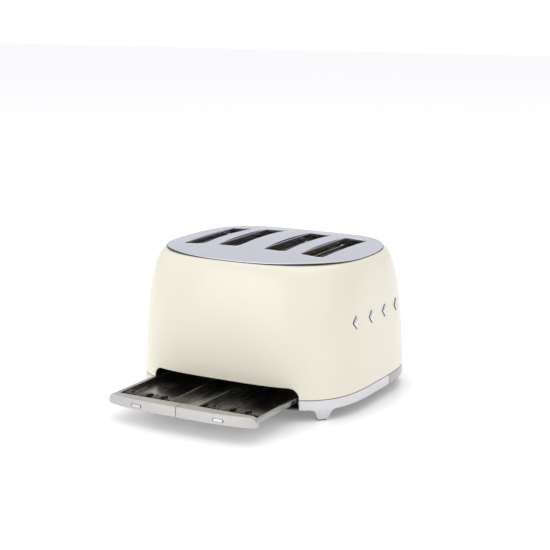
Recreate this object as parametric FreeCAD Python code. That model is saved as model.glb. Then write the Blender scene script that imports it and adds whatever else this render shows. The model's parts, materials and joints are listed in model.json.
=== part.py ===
"""Pop up toaster with four bread slots, two bread carriages and two crumb trays.

Each physical piece is its own solid and is written to parts/NODE.step, in millimetres.
+X is the badge side, +Y the control end, +Z up. The table is at z = 0. The trays stand
drawn out of the -Y end and the bread carriages stand up, which is the rest pose.
"""
import FreeCAD, Part
import math
import os

V = FreeCAD.Vector

# How far one piece's blocks run into each other, and how far a cutter runs past its piece
OVERLAP = 0.5
OVERCUT = 5.0

# Body: a superellipse outline that leans in and rolls over at the shoulder
BODY_HALF_X = 161.4
BODY_HALF_Y = 145.1
BODY_POWER = 3.65
BODY_HEIGHT = 167.9
TOP_INSET_X = 16.5
TOP_INSET_Y = 26.2
TOP_POWER = 2.6
LEAN_SHARE = 0.33
LEAN_POWER = 1.2
SHELL_WALL = 1.2
SHELL_FLANGE = 7.0
OUTLINE_POINTS = 72
BODY_SECTIONS = 13

# Base: feet, chrome band and moulded base plate
PAD_THICKNESS = 1.5
PAD_INSET = 1.5
PAD_CORNER = 2.0
FOOT_HEIGHT = 14.0
FOOT_TOP_WIDTH = 23.0
FOOT_TIP_WIDTH = 15.5
FOOT_FLARE = 7.0
FOOT_DEPTH = 12.0
FOOT_LEAN = 4.2
FOOT_STEP = 0.15
FOOT_ANGLE = 39.9
BAND_HEIGHT = 12.8
BAND_WALL = 2.4
BAND_SEAM_Y = 29.0
BAND_SEAM_GAP = 0.3
SEAM_GAP = 0.5
BASE_THICKNESS = 2.5
BASE_CLEARANCE = 0.3
VENT_COUNT = 6
VENT_FIRST_X = 32.0
VENT_PITCH = 12.0
VENT_WIDTH = 5.0
VENT_LENGTH = 44.0
BOSS_RADIUS = 4.5
BOSS_HEIGHT = 8.0
SCREW_RADIUS = 1.5
SCREW_HEAD_RADIUS = 3.0
SCREW_HEAD_HEIGHT = 1.4
SCREW_INSET_X = 27.4
SCREW_INSET_Y = 17.1
SCREW_SIDE_Y = 62.0
SCREW_SHARES = (0.22, 0.5)
SCREW_HEAD_CLEARANCE = 0.3
GLAND_RADIUS = 6.0
GLAND_BORE = 3.6
GLAND_FLANGE = 2.5
GLAND_CLEARANCE = 0.1
GLAND_INSET = 25.1
TERMINAL_GAP = 4.0
TERMINAL_PITCH = 6.4
TERMINAL_DEPTH = 15.0
TERMINAL_HEIGHT = 12.0

# Top plate
PLATE_WALL = 1.0
PLATE_OVERHANG = 0.4
PLATE_SKIRT = 0.8
DOME_RISE = 10.1
DOME_POWER = 2.2
DOME_POINTS = 25
SLOT_WIDTH = 32.0
SLOT_LENGTH = 134.0
SLOT_CORNER = 5.0
SLOT_SHIFT_Y = 2.3
SLOT_INNER_X = 35.5
SLOT_PITCH = 55.5
SLOT_FLANGE = 5.0

# Crumb trays and their opening
ARCH_HALF = 111.5
ARCH_RISE = 14.9
ARCH_CORNER = 13.0
TRAY_CLEARANCE = 1.2
TRAY_DRAWN = 104.0
TRAY_LIFT = 3.9
FRONT_HEIGHT = 13.3
FRONT_DEPTH = 17.0
FRONT_CORNER = 9.0
TAB_WIDTH = 15.0
TAB_HEIGHT = 4.4
TAB_PROUD = 0.7
TAB_LIFT = 5.2
TAB_CORNER = 2.0
TAB_X = 61.0
PAN_WALL = 0.8
PAN_END_GAP = 7.0
PAN_LIFT = 0.7
PAN_INNER_X = 21.0
PAN_MARGIN = 5.3
PAN_RIM = 12.2
PAN_SIDE = 9.5
PAN_FLANGE = 4.6
DECK_RISE = 2.8
CLIP_HEIGHT = 7.5
COMB_SPAN = 84.0
RUNNER_WIDTH = 3.0
RUNNER_CLEARANCE = 0.3
RUNNER_GAP = 1.0
RUNNER_SETBACK = 2.0
MIDDLE_RUNNER_HALF = 7.0
TRAY_SEAM = 0.8
RETURN_WALL = 1.6
RETURN_DEPTH = 22.4
LINER_WALL = 1.6
LINER_GAP = 0.4
LINER_INSET = 0.6

# Chassis
SHEET = 1.0
CHASSIS_FRONT_MARGIN = 10.3
CHASSIS_BACK_MARGIN = 12.7
CHASSIS_EDGE = 4.0
CHASSIS_GAP = 0.8
CHASSIS_HEADROOM = 9.0
BAY_HEADROOM = 2.3
REFLECTOR_WALL = 0.8
REFLECTOR_GAP = 6.0
REFLECTOR_INNER_X = 6.0
TIE_RADIUS = 2.5
TIE_GAP = 5.0
TIE_INSET = 8.0
BOARD_THICKNESS = 0.8
BOARD_LIFT = 6.0
BOARD_HEADROOM = 4.0
BOARD_GAP = 6.0
RIBBON_THICKNESS = 0.25
RIBBON_WIDTH = 1.6
RIBBON_ROWS = 10
RIBBON_MARGIN = 5.0

# Bread carriage
SHELF_DEPTH = 66.0
SHELF_DIP = 2.0
SHELF_HEIGHT = 8.0
SHELF_WIDTH = 5.0
SHELF_TIP = 3.0
FINGER_WIDTH = 20.0
FINGER_COUNT = 8
FINGER_HALF = 2.0
SLIT_CLEARANCE = 0.7
CROSSBAR_GAP = 3.0
CROSSBAR_THICKNESS = 4.0
CROSSBAR_HEIGHT = 12.0
ROD_RADIUS = 3.0
ROD_CLEARANCE = 0.05
ROD_DISTANCE = 15.0
BRACKET_LIFT = 10.0
BRACKET_HEADROOM = 2.0
BRACKET_DEPTH = 23.0
BRACKET_LEFT = 28.0
BRACKET_RIGHT = 32.0
SLIDER_WIDTH = 24.0
SLIDER_DEPTH = 14.0
SLIDER_HEIGHT = 58.0
ARM_SIZE = 6.0
ARM_DEPTH = 25.0
LEVER_GAP = 4.9
LEVER_WIDTH = 34.0
LEVER_DEPTH = 25.0
LEVER_HEIGHT = 13.0
SOCKET_DEPTH = 9.0
SPRING_OFFSET = 21.0
SPRING_RADIUS = 4.0
SPRING_WIRE = 0.45
SPRING_TURNS = 15
SPRING_END_GAP = 0.3
HOOK_DROP = 6.0
HOOK_HALF = 3.0
HOOK_THICKNESS = 2.0
MAGNET_OFFSET = 23.5
MAGNET_WIDTH = 13.0
MAGNET_DEPTH = 11.0
YOKE_DEPTH = 8.5
YOKE_FOOT = 4.0
COIL_DROP = 2.0
MAGNET_GAP = 0.4
KEEPER_THICKNESS = 2.0

# Self-centring bread guides
GUIDE_OFFSET = 13.5
GUIDE_PIVOT_LIFT = 9.0
GUIDE_TOP_DEPTH = 3.0
GUIDE_RAIL_PITCH = 4.0
GUIDE_PIVOT_RADIUS = 1.2
GUIDE_WIRE_RADIUS = 0.8
GUIDE_PIVOT_CLEARANCE = 0.08
GUIDE_WIRES = 9
GUIDE_END_GAP = 3.0
GUIDE_TAIL = 2.0

# Controls, one set for each carriage
BEZEL_WIDTH = 42.0
BEZEL_LIFT = 7.2
BEZEL_HEADROOM = 13.0
BEZEL_CORNER = 12.0
BEZEL_WALL = 1.2
BEZEL_OVERLAP = 4.0
FACE_GAP = 0.05
LEVER_SLOT_WIDTH = 7.4
LEVER_SLOT_SPARE = 3.0
LEVER_SLOT_CORNER = 2.5
KNOB_LIFT = 27.2
KNOB_RADIUS = 15.5
KNOB_GAP = 1.5
KNOB_DEPTH = 17.0
KNOB_SHAFT_RADIUS = 4.0
KNOB_SHAFT_BORE = 2.2
KNOB_CLEARANCE = 0.05
RING_WALL = 1.9
RING_PROUD = 1.1
STOP_RADIUS = 6.0
STOP_STEM_RADIUS = 1.8
STOP_THICKNESS = 5.0
PRESS_TRAVEL = 1.5
BUTTON_RADIUS = 4.0
BUTTON_CLEARANCE = 0.3
BUTTON_PITCH = 12.0
BUTTON_RISE = 23.0
BUTTON_PROUD = 2.5
BUTTON_HEAD = 9.0
BUTTON_STEM_RADIUS = 1.6
PCB_INSET = 27.1
PCB_THICKNESS = 1.6
PCB_DROP = 16.0
PCB_HEIGHT = 48.0
PCB_WIDTH = 50.0
SWITCH_HEIGHT = 2.4
SWITCH_HALF = 3.0
POST_RADIUS = 2.2
POST_INSET_X = 3.0
POST_INSET_Z = 4.0
CONTROL_DEPTH = 7.0
CONTROL_WALL = 3.0
STEM_GAP = 0.4

# Badge ornaments on the +X side
ORNAMENT_COUNT = 4
ORNAMENT_FIRST_Y = -60.0
ORNAMENT_PITCH = 39.5
ORNAMENT_LIFT = 91.7
ORNAMENT_HEIGHT = 16.0
ORNAMENT_WIDTH = 14.0
ORNAMENT_PROUD = 2.0

# Heights worked out from the sizes above
BAND_BOTTOM = PAD_THICKNESS + FOOT_HEIGHT
BASE_TOP = BAND_BOTTOM + BASE_THICKNESS
BODY_BOTTOM = BAND_BOTTOM + BAND_HEIGHT + SEAM_GAP
BODY_TOP = BODY_BOTTOM + BODY_HEIGHT
PLATE_BOTTOM = BODY_TOP + SEAM_GAP
RIM_Z = PLATE_BOTTOM + PLATE_SKIRT
ARCH_TOP = BODY_BOTTOM + ARCH_RISE
BAY_HEIGHT = ARCH_TOP + BAY_HEADROOM
CHASSIS_TOP = BODY_TOP - CHASSIS_HEADROOM
BOARD_BOTTOM = BAY_HEIGHT + BOARD_LIFT
BOARD_TOP = CHASSIS_TOP - BOARD_HEADROOM
FRONT_BOTTOM = BASE_TOP + TRAY_LIFT
PAN_BOTTOM = FRONT_BOTTOM + PAN_LIFT
SHELF_TOP = CHASSIS_TOP - SHELF_DEPTH
CARRIAGE_TRAVEL = SHELF_TOP - SHELF_HEIGHT - BAY_HEIGHT + SHELF_DIP
HOOK_Z = SHELF_TOP - HOOK_DROP
ARM_Z = CHASSIS_TOP - ARM_DEPTH
BRACKET_LOW = BASE_TOP + BRACKET_LIFT
BRACKET_HIGH = CHASSIS_TOP - BRACKET_HEADROOM
ROD_BOTTOM = BRACKET_LOW - SHEET
GUIDE_PIVOT_Z = BAY_HEIGHT + GUIDE_PIVOT_LIFT
GUIDE_TOP_Z = RIM_Z - GUIDE_TOP_DEPTH
BEZEL_BOTTOM = BODY_BOTTOM + BEZEL_LIFT
BEZEL_HEIGHT = ARM_Z + BEZEL_HEADROOM - BEZEL_BOTTOM
KNOB_Z = BODY_BOTTOM + KNOB_LIFT
BUTTON_Z = KNOB_Z + BUTTON_RISE
PCB_BOTTOM = KNOB_Z - PCB_DROP
ORNAMENT_Z = BODY_BOTTOM + ORNAMENT_LIFT

# Places across the width
RIM_HALF_X = BODY_HALF_X - TOP_INSET_X + PLATE_OVERHANG
SLOT_OUTER_X = SLOT_INNER_X + SLOT_PITCH
SLOT_XS = (-SLOT_OUTER_X, -SLOT_INNER_X, SLOT_INNER_X, SLOT_OUTER_X)
CARRIAGE_X = (SLOT_INNER_X + SLOT_OUTER_X) / 2
BOARD_REACH = SLOT_PITCH / 2 + SLOT_WIDTH / 2 + BOARD_GAP
BOARD_OFFSETS = (-BOARD_REACH, 0.0, BOARD_REACH)
REFLECTOR_OUTER_X = CARRIAGE_X + BOARD_REACH + REFLECTOR_GAP
TIE_X = REFLECTOR_OUTER_X + TIE_GAP
CHASSIS_HALF = TIE_X + CHASSIS_EDGE
TRAY_HALF = ARCH_HALF - TRAY_CLEARANCE
PAN_OUTER_X = TRAY_HALF - PAN_MARGIN

# Places along the depth
RIM_HALF_Y = BODY_HALF_Y - TOP_INSET_Y + PLATE_OVERHANG
CHASSIS_FRONT_Y = SLOT_SHIFT_Y - SLOT_LENGTH / 2 - CHASSIS_FRONT_MARGIN
CHASSIS_BACK_Y = SLOT_SHIFT_Y + SLOT_LENGTH / 2 + CHASSIS_BACK_MARGIN
ROD_Y = CHASSIS_BACK_Y + ROD_DISTANCE
FRONT_REACH = BODY_HALF_Y + TRAY_DRAWN
PAN_FRONT_Y = FRONT_DEPTH - FRONT_REACH
PAN_BACK_Y = CHASSIS_BACK_Y - PAN_END_GAP - TRAY_DRAWN
RUNNER_REACH = BODY_HALF_Y - FRONT_DEPTH - RUNNER_SETBACK
GLAND_Y = BODY_HALF_Y - GLAND_INSET
PCB_Y = BODY_HALF_Y - PCB_INSET
KNOB_Y = BODY_HALF_Y + KNOB_GAP
KNOB_FRONT_Y = KNOB_Y + KNOB_DEPTH
RING_FRONT_Y = BODY_HALF_Y + RING_PROUD
BUTTON_FRONT_Y = BODY_HALF_Y + BUTTON_PROUD
LEVER_Y = BODY_HALF_Y + LEVER_GAP
LEVER_TIP_Y = LEVER_Y + LEVER_DEPTH
ORIGIN_SHIFT_Y = (FRONT_REACH + TAB_PROUD - LEVER_TIP_Y) / 2
SIDES = (("left", -1), ("right", 1))


def save(name, solids):
    """Write one node, moved so that the origin is under the middle of the whole object."""
    shape = solids if isinstance(solids, Part.Shape) else Part.makeCompound(solids)
    moved = shape.copy()
    moved.translate(V(0, ORIGIN_SHIFT_Y, 0))
    for solid in moved.Solids:
        if not solid.isValid():
            raise ValueError(name + " holds a solid that is not valid")
    moved.exportStep("parts/" + name + ".step")


def box(x0, x1, y0, y1, z0, z1):
    """Block between two corners."""
    return Part.makeBox(x1 - x0, y1 - y0, z1 - z0, V(x0, y0, z0))


def side_box(side, x0, x1, y0, y1, z0, z1):
    """Block given for the +X half, put on the left (-1) or right (+1) half."""
    low, high = sorted((side * x0, side * x1))
    return box(low, high, y0, y1, z0, z1)


def rod_y(x, y0, y1, z, radius):
    """Round rod along Y."""
    return Part.makeCylinder(radius, y1 - y0, V(x, y0, z), V(0, 1, 0))


def rod_z(x, y, z0, z1, radius):
    """Round rod along Z."""
    return Part.makeCylinder(radius, z1 - z0, V(x, y, z0), V(0, 0, 1))


def outline_radius(half_x, half_y, power, angle):
    """Distance from the middle to a superellipse, in one direction."""
    across = abs(math.cos(angle) / half_x) ** power
    along = abs(math.sin(angle) / half_y) ** power
    return (across + along) ** (-1 / power)


def superellipse_curve(half_x, half_y, power, z):
    """Closed smooth curve through points that stand at even angles round the middle."""
    points = []
    for i in range(OUTLINE_POINTS):
        angle = 2 * math.pi * i / OUTLINE_POINTS
        radius = outline_radius(half_x, half_y, power, angle)
        points.append(V(radius * math.cos(angle), radius * math.sin(angle), z))
    knots = [i / OUTLINE_POINTS for i in range(OUTLINE_POINTS + 1)]
    curve = Part.BSplineCurve()
    curve.interpolate(Points=points, PeriodicFlag=True, Parameters=knots)
    return curve


def superellipse(half_x, half_y, power, z):
    """Closed wire of the same outline."""
    return Part.Wire([superellipse_curve(half_x, half_y, power, z).toShape()])


def skin(curves, stations):
    """Smooth solid through outlines that share their knots, at stations along its height."""
    ribs = []
    for column in zip(*(curve.getPoles() for curve in curves)):
        rib = Part.BSplineCurve()
        rib.interpolate(Points=list(column), Parameters=stations)
        ribs.append(rib)
    surface = Part.BSplineSurface()
    surface.buildFromPolesMultsKnots(
        [rib.getPoles() for rib in ribs],
        curves[0].getMultiplicities(), ribs[0].getMultiplicities(),
        curves[0].getKnots(), ribs[0].getKnots(),
        True, False, curves[0].Degree, ribs[0].Degree,
    )
    side = surface.toShape()
    caps = [Part.Face(Part.Wire([edge])) for edge in side.Edges if edge.isClosed()]
    skins = Part.makeCompound([side] + caps)
    skins.sewShape()
    solid = Part.makeSolid(skins.Shells[0])
    if solid.Volume < 0:
        solid.reverse()
    return solid


def outline_prism(offset, z0, z1):
    """Upright block with the body's lower outline, grown by offset."""
    wire = superellipse(BODY_HALF_X + offset, BODY_HALF_Y + offset, BODY_POWER, z0)
    return Part.Face(wire).extrude(V(0, 0, z1 - z0))


def body_inset(rise):
    """Share of the top inset reached at a share of the body's height."""
    lean = LEAN_SHARE * rise ** LEAN_POWER
    shoulder = (1 - LEAN_SHARE) * (1 - math.sqrt(max(0.0, 1 - rise ** 4)))
    return lean + shoulder


def hull(offset):
    """Solid of the body's outer shape, grown by offset all round and at the top."""
    height = BODY_HEIGHT + offset
    curves = []
    stations = []
    last = (0.0, 0.0)
    for i in range(BODY_SECTIONS):
        rise = 1 - (1 - i / (BODY_SECTIONS - 1)) ** 2.2
        inset = body_inset(rise)
        curves.append(superellipse_curve(
            BODY_HALF_X - TOP_INSET_X * inset + offset,
            BODY_HALF_Y - TOP_INSET_Y * inset + offset,
            BODY_POWER + (TOP_POWER - BODY_POWER) * inset,
            BODY_BOTTOM + rise * height,
        ))
        here = (rise * height, inset * TOP_INSET_Y)
        step = math.dist(here, last)
        stations.append(stations[-1] + step if stations else 0.0)
        last = here
    return skin(curves, stations)


def wall_y(x, z, offset):
    """Y of the control face, moved out by offset, at a place on it."""
    inset = body_inset((z - BODY_BOTTOM) / (BODY_HEIGHT + offset))
    half_x = BODY_HALF_X - TOP_INSET_X * inset + offset
    half_y = BODY_HALF_Y - TOP_INSET_Y * inset + offset
    power = BODY_POWER + (TOP_POWER - BODY_POWER) * inset
    return half_y * (1 - (abs(x) / half_x) ** power) ** (1 / power)


def rounded_rectangle(half_width, half_height, radius):
    """Wire in the XY plane, centred on the origin."""
    w = half_width
    h = half_height
    r = radius
    bend = r * (1 - math.sqrt(0.5))
    corners = ((1, 1), (-1, 1), (-1, -1), (1, -1))
    starts = (V(w, h - r, 0), V(r - w, h, 0), V(-w, r - h, 0), V(w - r, -h, 0))
    ends = (V(w - r, h, 0), V(-w, h - r, 0), V(r - w, -h, 0), V(w, r - h, 0))
    edges = []
    for i, (sx, sy) in enumerate(corners):
        middle = V(sx * (w - bend), sy * (h - bend), 0)
        edges.append(Part.Arc(starts[i], middle, ends[i]).toShape())
        edges.append(Part.makeLine(ends[i], starts[(i + 1) % 4]))
    return Part.Wire(edges)


def rounded_block(x, y, half_x, half_y, radius, z0, z1):
    """Upright block with rounded corners."""
    block = Part.Face(rounded_rectangle(half_x, half_y, radius)).extrude(V(0, 0, z1 - z0))
    block.translate(V(x, y, z0))
    return block


def rounded_window(x, z, half_x, half_z, radius, y0, y1):
    """Block with rounded corners that runs along Y."""
    block = Part.Face(rounded_rectangle(half_x, half_z, radius)).extrude(V(0, 0, y1 - y0))
    block.rotate(V(0, 0, 0), V(1, 0, 0), 90)
    block.translate(V(x, y1, z))
    return block


# Shared solids
BODY_OUTSIDE = hull(0.0)
BODY_INSIDE = hull(-SHELL_WALL)


def body_shell():
    """Enamelled shell with its tray arch, control windows and plate flange."""
    shell = BODY_OUTSIDE.cut(BODY_INSIDE)
    mouth = superellipse(
        RIM_HALF_X - SHELL_FLANGE, RIM_HALF_Y - SHELL_FLANGE, TOP_POWER, BODY_TOP - OVERCUT
    )
    shell = shell.cut(Part.Face(mouth).extrude(V(0, 0, 2 * OVERCUT)))
    arch = rounded_window(
        0, 0, ARCH_HALF, ARCH_TOP, ARCH_CORNER, -BODY_HALF_Y - OVERCUT, -BODY_HALF_Y / 2
    )
    shell = shell.cut(arch)
    middle = BEZEL_BOTTOM + BEZEL_HEIGHT / 2
    for _, side in SIDES:
        window = rounded_window(
            side * CARRIAGE_X, middle, BEZEL_WIDTH / 2 - BEZEL_OVERLAP,
            BEZEL_HEIGHT / 2 - BEZEL_OVERLAP, BEZEL_CORNER - BEZEL_OVERLAP,
            BODY_HALF_Y / 2, BODY_HALF_Y + OVERCUT,
        )
        shell = shell.cut(window)
    save("body_shell", shell)


def under_dome(drop):
    """Everything under the top plate's upper surface, lowered by drop."""
    rows = []
    for i in range(DOME_POINTS):
        x = (RIM_HALF_X + OVERCUT) * (2 * i / (DOME_POINTS - 1) - 1)
        row = []
        for j in range(DOME_POINTS):
            y = (RIM_HALF_Y + OVERCUT) * (2 * j / (DOME_POINTS - 1) - 1)
            across = 1 - abs(x / RIM_HALF_X) ** DOME_POWER
            along = 1 - abs(y / RIM_HALF_Y) ** DOME_POWER
            row.append(V(x, y, RIM_Z + DOME_RISE * across * along - drop))
        rows.append(row)
    surface = Part.BSplineSurface()
    surface.interpolate(rows)
    return surface.toShape().extrude(V(0, 0, -RIM_Z / 4))


def slot_prism(x, grow, z0, z1):
    """One bread slot's outline, grown all round."""
    return rounded_block(
        x, SLOT_SHIFT_Y, SLOT_WIDTH / 2 + grow, SLOT_LENGTH / 2 + grow, SLOT_CORNER + grow, z0, z1
    )


def top_plate():
    """Domed plate with a short skirt and four slots with turned-down flanges."""
    outside = under_dome(0.0)
    inside = under_dome(PLATE_WALL)
    top = RIM_Z + DOME_RISE + OVERCUT
    rim = Part.Face(superellipse(RIM_HALF_X, RIM_HALF_Y, TOP_POWER, PLATE_BOTTOM))
    core = Part.Face(
        superellipse(RIM_HALF_X - PLATE_WALL, RIM_HALF_Y - PLATE_WALL, TOP_POWER, PLATE_BOTTOM - 1)
    )
    plate = rim.extrude(V(0, 0, top - PLATE_BOTTOM)).common(outside)
    plate = plate.cut(core.extrude(V(0, 0, top - PLATE_BOTTOM)).common(inside))
    flange_bottom = RIM_Z - SLOT_FLANGE
    for x in SLOT_XS:
        flange = slot_prism(x, PLATE_WALL, flange_bottom, top).common(outside)
        plate = plate.fuse(flange)
    for x in SLOT_XS:
        plate = plate.cut(slot_prism(x, 0.0, flange_bottom - OVERCUT, top))
    save("top_plate", plate)


def foot_profile():
    """Foot seen from outside, along X, from the table side up: tapered, with flared roots."""
    half = FOOT_TOP_WIDTH / 2
    tip = FOOT_TIP_WIDTH / 2
    low = PAD_THICKNESS
    high = BAND_BOTTOM
    knee = high - FOOT_FLARE
    knee_half = tip + (half - tip) * (knee - low) / (high - low)
    edges = [Part.makeLine(V(-tip, 0, low), V(tip, 0, low))]
    for side in (1, -1):
        edges.append(Part.makeLine(V(side * tip, 0, low), V(side * knee_half, 0, knee)))
        flare = Part.BezierCurve()
        flare.setPoles([
            V(side * knee_half, 0, knee),
            V(side * half, 0, high),
            V(side * (half + FOOT_FLARE), 0, high),
        ])
        edges.append(flare.toShape())
    reach = half + FOOT_FLARE
    edges.append(Part.makeLine(V(-reach, 0, high), V(reach, 0, high)))
    return Part.Face(Part.Wire(Part.__sortEdges__(edges)))


def foot_stock():
    """Block whose outside the feet follow: it leans in towards the table."""
    curves = []
    heights = []
    for share in (-0.2, 1.2):
        lean = FOOT_STEP + FOOT_LEAN * (1 - share)
        heights.append(PAD_THICKNESS + FOOT_HEIGHT * share)
        curves.append(superellipse_curve(
            BODY_HALF_X - lean, BODY_HALF_Y - lean, BODY_POWER, heights[-1]
        ))
    return skin(curves, heights)


def place_at_corner(shape, sx, sy):
    """Turn a shape made on the -Y side so that it faces out of one corner of the outline."""
    angle = math.radians(FOOT_ANGLE)
    radius = outline_radius(BODY_HALF_X, BODY_HALF_Y, BODY_POWER, angle)
    foot_x = radius * math.cos(angle)
    foot_y = radius * math.sin(angle)
    slope_x = (foot_x / BODY_HALF_X) ** (BODY_POWER - 1) / BODY_HALF_X
    slope_y = (foot_y / BODY_HALF_Y) ** (BODY_POWER - 1) / BODY_HALF_Y
    facing = math.degrees(math.atan2(sy * slope_y, sx * slope_x))
    placed = shape.copy()
    placed.rotate(V(0, 0, 0), V(0, 0, 1), facing + 90)
    placed.translate(V(sx * foot_x, sy * foot_y, 0))
    return placed


def bands_and_feet():
    """Three band sections, each with the feet below it, and the rubber pads."""
    ring = outline_prism(0.0, BAND_BOTTOM, BAND_BOTTOM + BAND_HEIGHT)
    ring = ring.cut(outline_prism(-BAND_WALL, BAND_BOTTOM - 1, BAND_BOTTOM + BAND_HEIGHT + 1))
    stock = foot_stock()
    cutter = foot_profile().extrude(V(0, 2 * FOOT_DEPTH + FOOT_LEAN, 0))
    cutter.translate(V(0, -FOOT_DEPTH, 0))
    pad_block = rounded_block(
        0, FOOT_LEAN + FOOT_DEPTH / 2, FOOT_TIP_WIDTH / 2 - PAD_INSET, FOOT_DEPTH / 2 - PAD_INSET,
        PAD_CORNER, 0, PAD_THICKNESS,
    )
    far = 2 * BODY_HALF_X
    tall = 2 * BAND_BOTTOM + BAND_HEIGHT
    pads = []
    sections = {
        "base_band_left": box(-far, -ARCH_HALF, -far, BAND_SEAM_Y, -1, tall),
        "base_band_right": box(ARCH_HALF, far, -far, BAND_SEAM_Y, -1, tall),
        "base_band_control": box(-far, far, BAND_SEAM_Y + BAND_SEAM_GAP, far, -1, tall),
    }
    feet = {"base_band_left": ((-1, -1),), "base_band_right": ((1, -1),),
            "base_band_control": ((-1, 1), (1, 1))}
    for name, space in sections.items():
        section = ring.common(space)
        for sx, sy in feet[name]:
            section = section.fuse(place_at_corner(cutter, sx, sy).common(stock))
            pads.append(place_at_corner(pad_block, sx, sy))
        if name != "base_band_control":
            side = -1 if name == "base_band_left" else 1
            flange = side_box(
                side, ARCH_HALF, ARCH_HALF + RETURN_WALL, -BODY_HALF_Y,
                -BODY_HALF_Y + RETURN_DEPTH, BAND_BOTTOM, BAND_BOTTOM + BAND_HEIGHT,
            )
            section = section.fuse(flange.common(outline_prism(-0.2, 0, tall)))
        save(name, section.removeSplitter())
    save("foot_pads", pads)


def screw_places():
    """Base screws: four along the sides and four at the control end."""
    places = []
    for _, side in SIDES:
        for y in (-SCREW_SIDE_Y, SCREW_SIDE_Y):
            places.append((side * (BODY_HALF_X - SCREW_INSET_X), y))
        for share in SCREW_SHARES:
            places.append((side * share * BODY_HALF_X, BODY_HALF_Y - SCREW_INSET_Y))
    return places


def base_plate():
    """Moulded base with vents, screw bosses and the gland's hole, and its screws."""
    plate = outline_prism(-BAND_WALL - BASE_CLEARANCE, BAND_BOTTOM, BASE_TOP)
    screws = []
    recess = BAND_BOTTOM + SCREW_HEAD_HEIGHT + 0.2
    for x, y in screw_places():
        boss_top = BASE_TOP + BOSS_HEIGHT
        plate = plate.fuse(rod_z(x, y, BASE_TOP - OVERLAP, boss_top, BOSS_RADIUS))
        sink = SCREW_HEAD_RADIUS + SCREW_HEAD_CLEARANCE
        plate = plate.cut(rod_z(x, y, BAND_BOTTOM - 1, recess, sink))
        plate = plate.cut(rod_z(x, y, BAND_BOTTOM, boss_top - 1, SCREW_RADIUS + 0.05))
        head = rod_z(x, y, BAND_BOTTOM + 0.2, recess, SCREW_HEAD_RADIUS)
        screws.append(head.fuse(rod_z(x, y, recess - 0.1, boss_top - 1.5, SCREW_RADIUS)))
    for _, side in SIDES:
        for i in range(VENT_COUNT):
            x = side * (VENT_FIRST_X + VENT_PITCH * i)
            vent = rounded_block(
                x, 0, VENT_WIDTH / 2, VENT_LENGTH / 2, VENT_WIDTH / 2 - 0.1,
                BAND_BOTTOM - 1, BASE_TOP + 1,
            )
            plate = plate.cut(vent)
        notch = side_box(
            side, ARCH_HALF - BASE_CLEARANCE, ARCH_HALF + RETURN_WALL + BASE_CLEARANCE,
            -BODY_HALF_Y, RETURN_DEPTH + BASE_CLEARANCE - BODY_HALF_Y, BAND_BOTTOM - 1, BASE_TOP + 1,
        )
        plate = plate.cut(notch)
    plate = plate.cut(
        rod_z(0, GLAND_Y, BAND_BOTTOM - 1, BASE_TOP + 1, GLAND_RADIUS + GLAND_CLEARANCE)
    )
    save("base_plate", plate)
    save("base_screws", screws)


def cord_inlet():
    """Moulded gland in the base, and the terminal block that the leads go to."""
    low = BAND_BOTTOM - GLAND_FLANGE
    high = BASE_TOP + GLAND_FLANGE
    gland = rod_z(0, GLAND_Y, low, high, GLAND_RADIUS)
    gland = gland.fuse(rod_z(0, GLAND_Y, low, BAND_BOTTOM, GLAND_RADIUS + GLAND_FLANGE))
    gland = gland.fuse(rod_z(0, GLAND_Y, BASE_TOP, high, GLAND_RADIUS + GLAND_FLANGE))
    gland = gland.cut(rod_z(0, GLAND_Y, 0, high + OVERCUT, GLAND_BORE))
    save("cord_gland", gland)
    near = GLAND_RADIUS + TERMINAL_GAP
    far = near + 3 * TERMINAL_PITCH
    half = TERMINAL_DEPTH / 2
    top = BASE_TOP + TERMINAL_HEIGHT
    block = box(near, far, GLAND_Y - half, GLAND_Y + half, BASE_TOP, top)
    for i in range(3):
        x = near + (i + 0.5) * TERMINAL_PITCH
        block = block.cut(rod_y(x, GLAND_Y - half - 1, GLAND_Y - 3, BASE_TOP + 5, 1.8))
        block = block.cut(rod_z(x, GLAND_Y + 2, top - 4, top + 1, 1.8))
    save("terminal_block", block)


def tray_front_face(side):
    """Plan outline of one front, from the seam out to its end."""
    steps = 10
    points = []
    for i in range(steps + 1):
        x = TRAY_SEAM / 2 + (TRAY_HALF - TRAY_SEAM / 2) * i / steps
        y = -wall_y(x, BODY_BOTTOM, 0.0) - TRAY_DRAWN
        points.append(V(side * x, y, FRONT_BOTTOM))
    curve = Part.BSplineCurve()
    curve.interpolate(points)
    near = V(side * TRAY_SEAM / 2, PAN_FRONT_Y, FRONT_BOTTOM)
    far = V(side * TRAY_HALF, PAN_FRONT_Y, FRONT_BOTTOM)
    edges = [
        curve.toShape(),
        Part.makeLine(points[-1], far),
        Part.makeLine(far, near),
        Part.makeLine(near, points[0]),
    ]
    return Part.Face(Part.Wire(edges))


def clip_outlines():
    """Plan outlines of the moulded crumb combs, on a pan COMB_SPAN wide, from its front."""
    return (
        ((3, 16), (21, 14), (21, 18), (9, 20), (9, 30), (3, 30)),
        ((25, 14), (38, 14), (35, 22), (40, 30), (34, 31), (29, 22)),
        ((46, 14), (61, 14), (57, 22), (62, 30), (56, 31), (52, 23), (48, 30), (44, 29)),
        ((65, 15), (81, 15), (81, 18), (65, 18)),
    )


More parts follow.
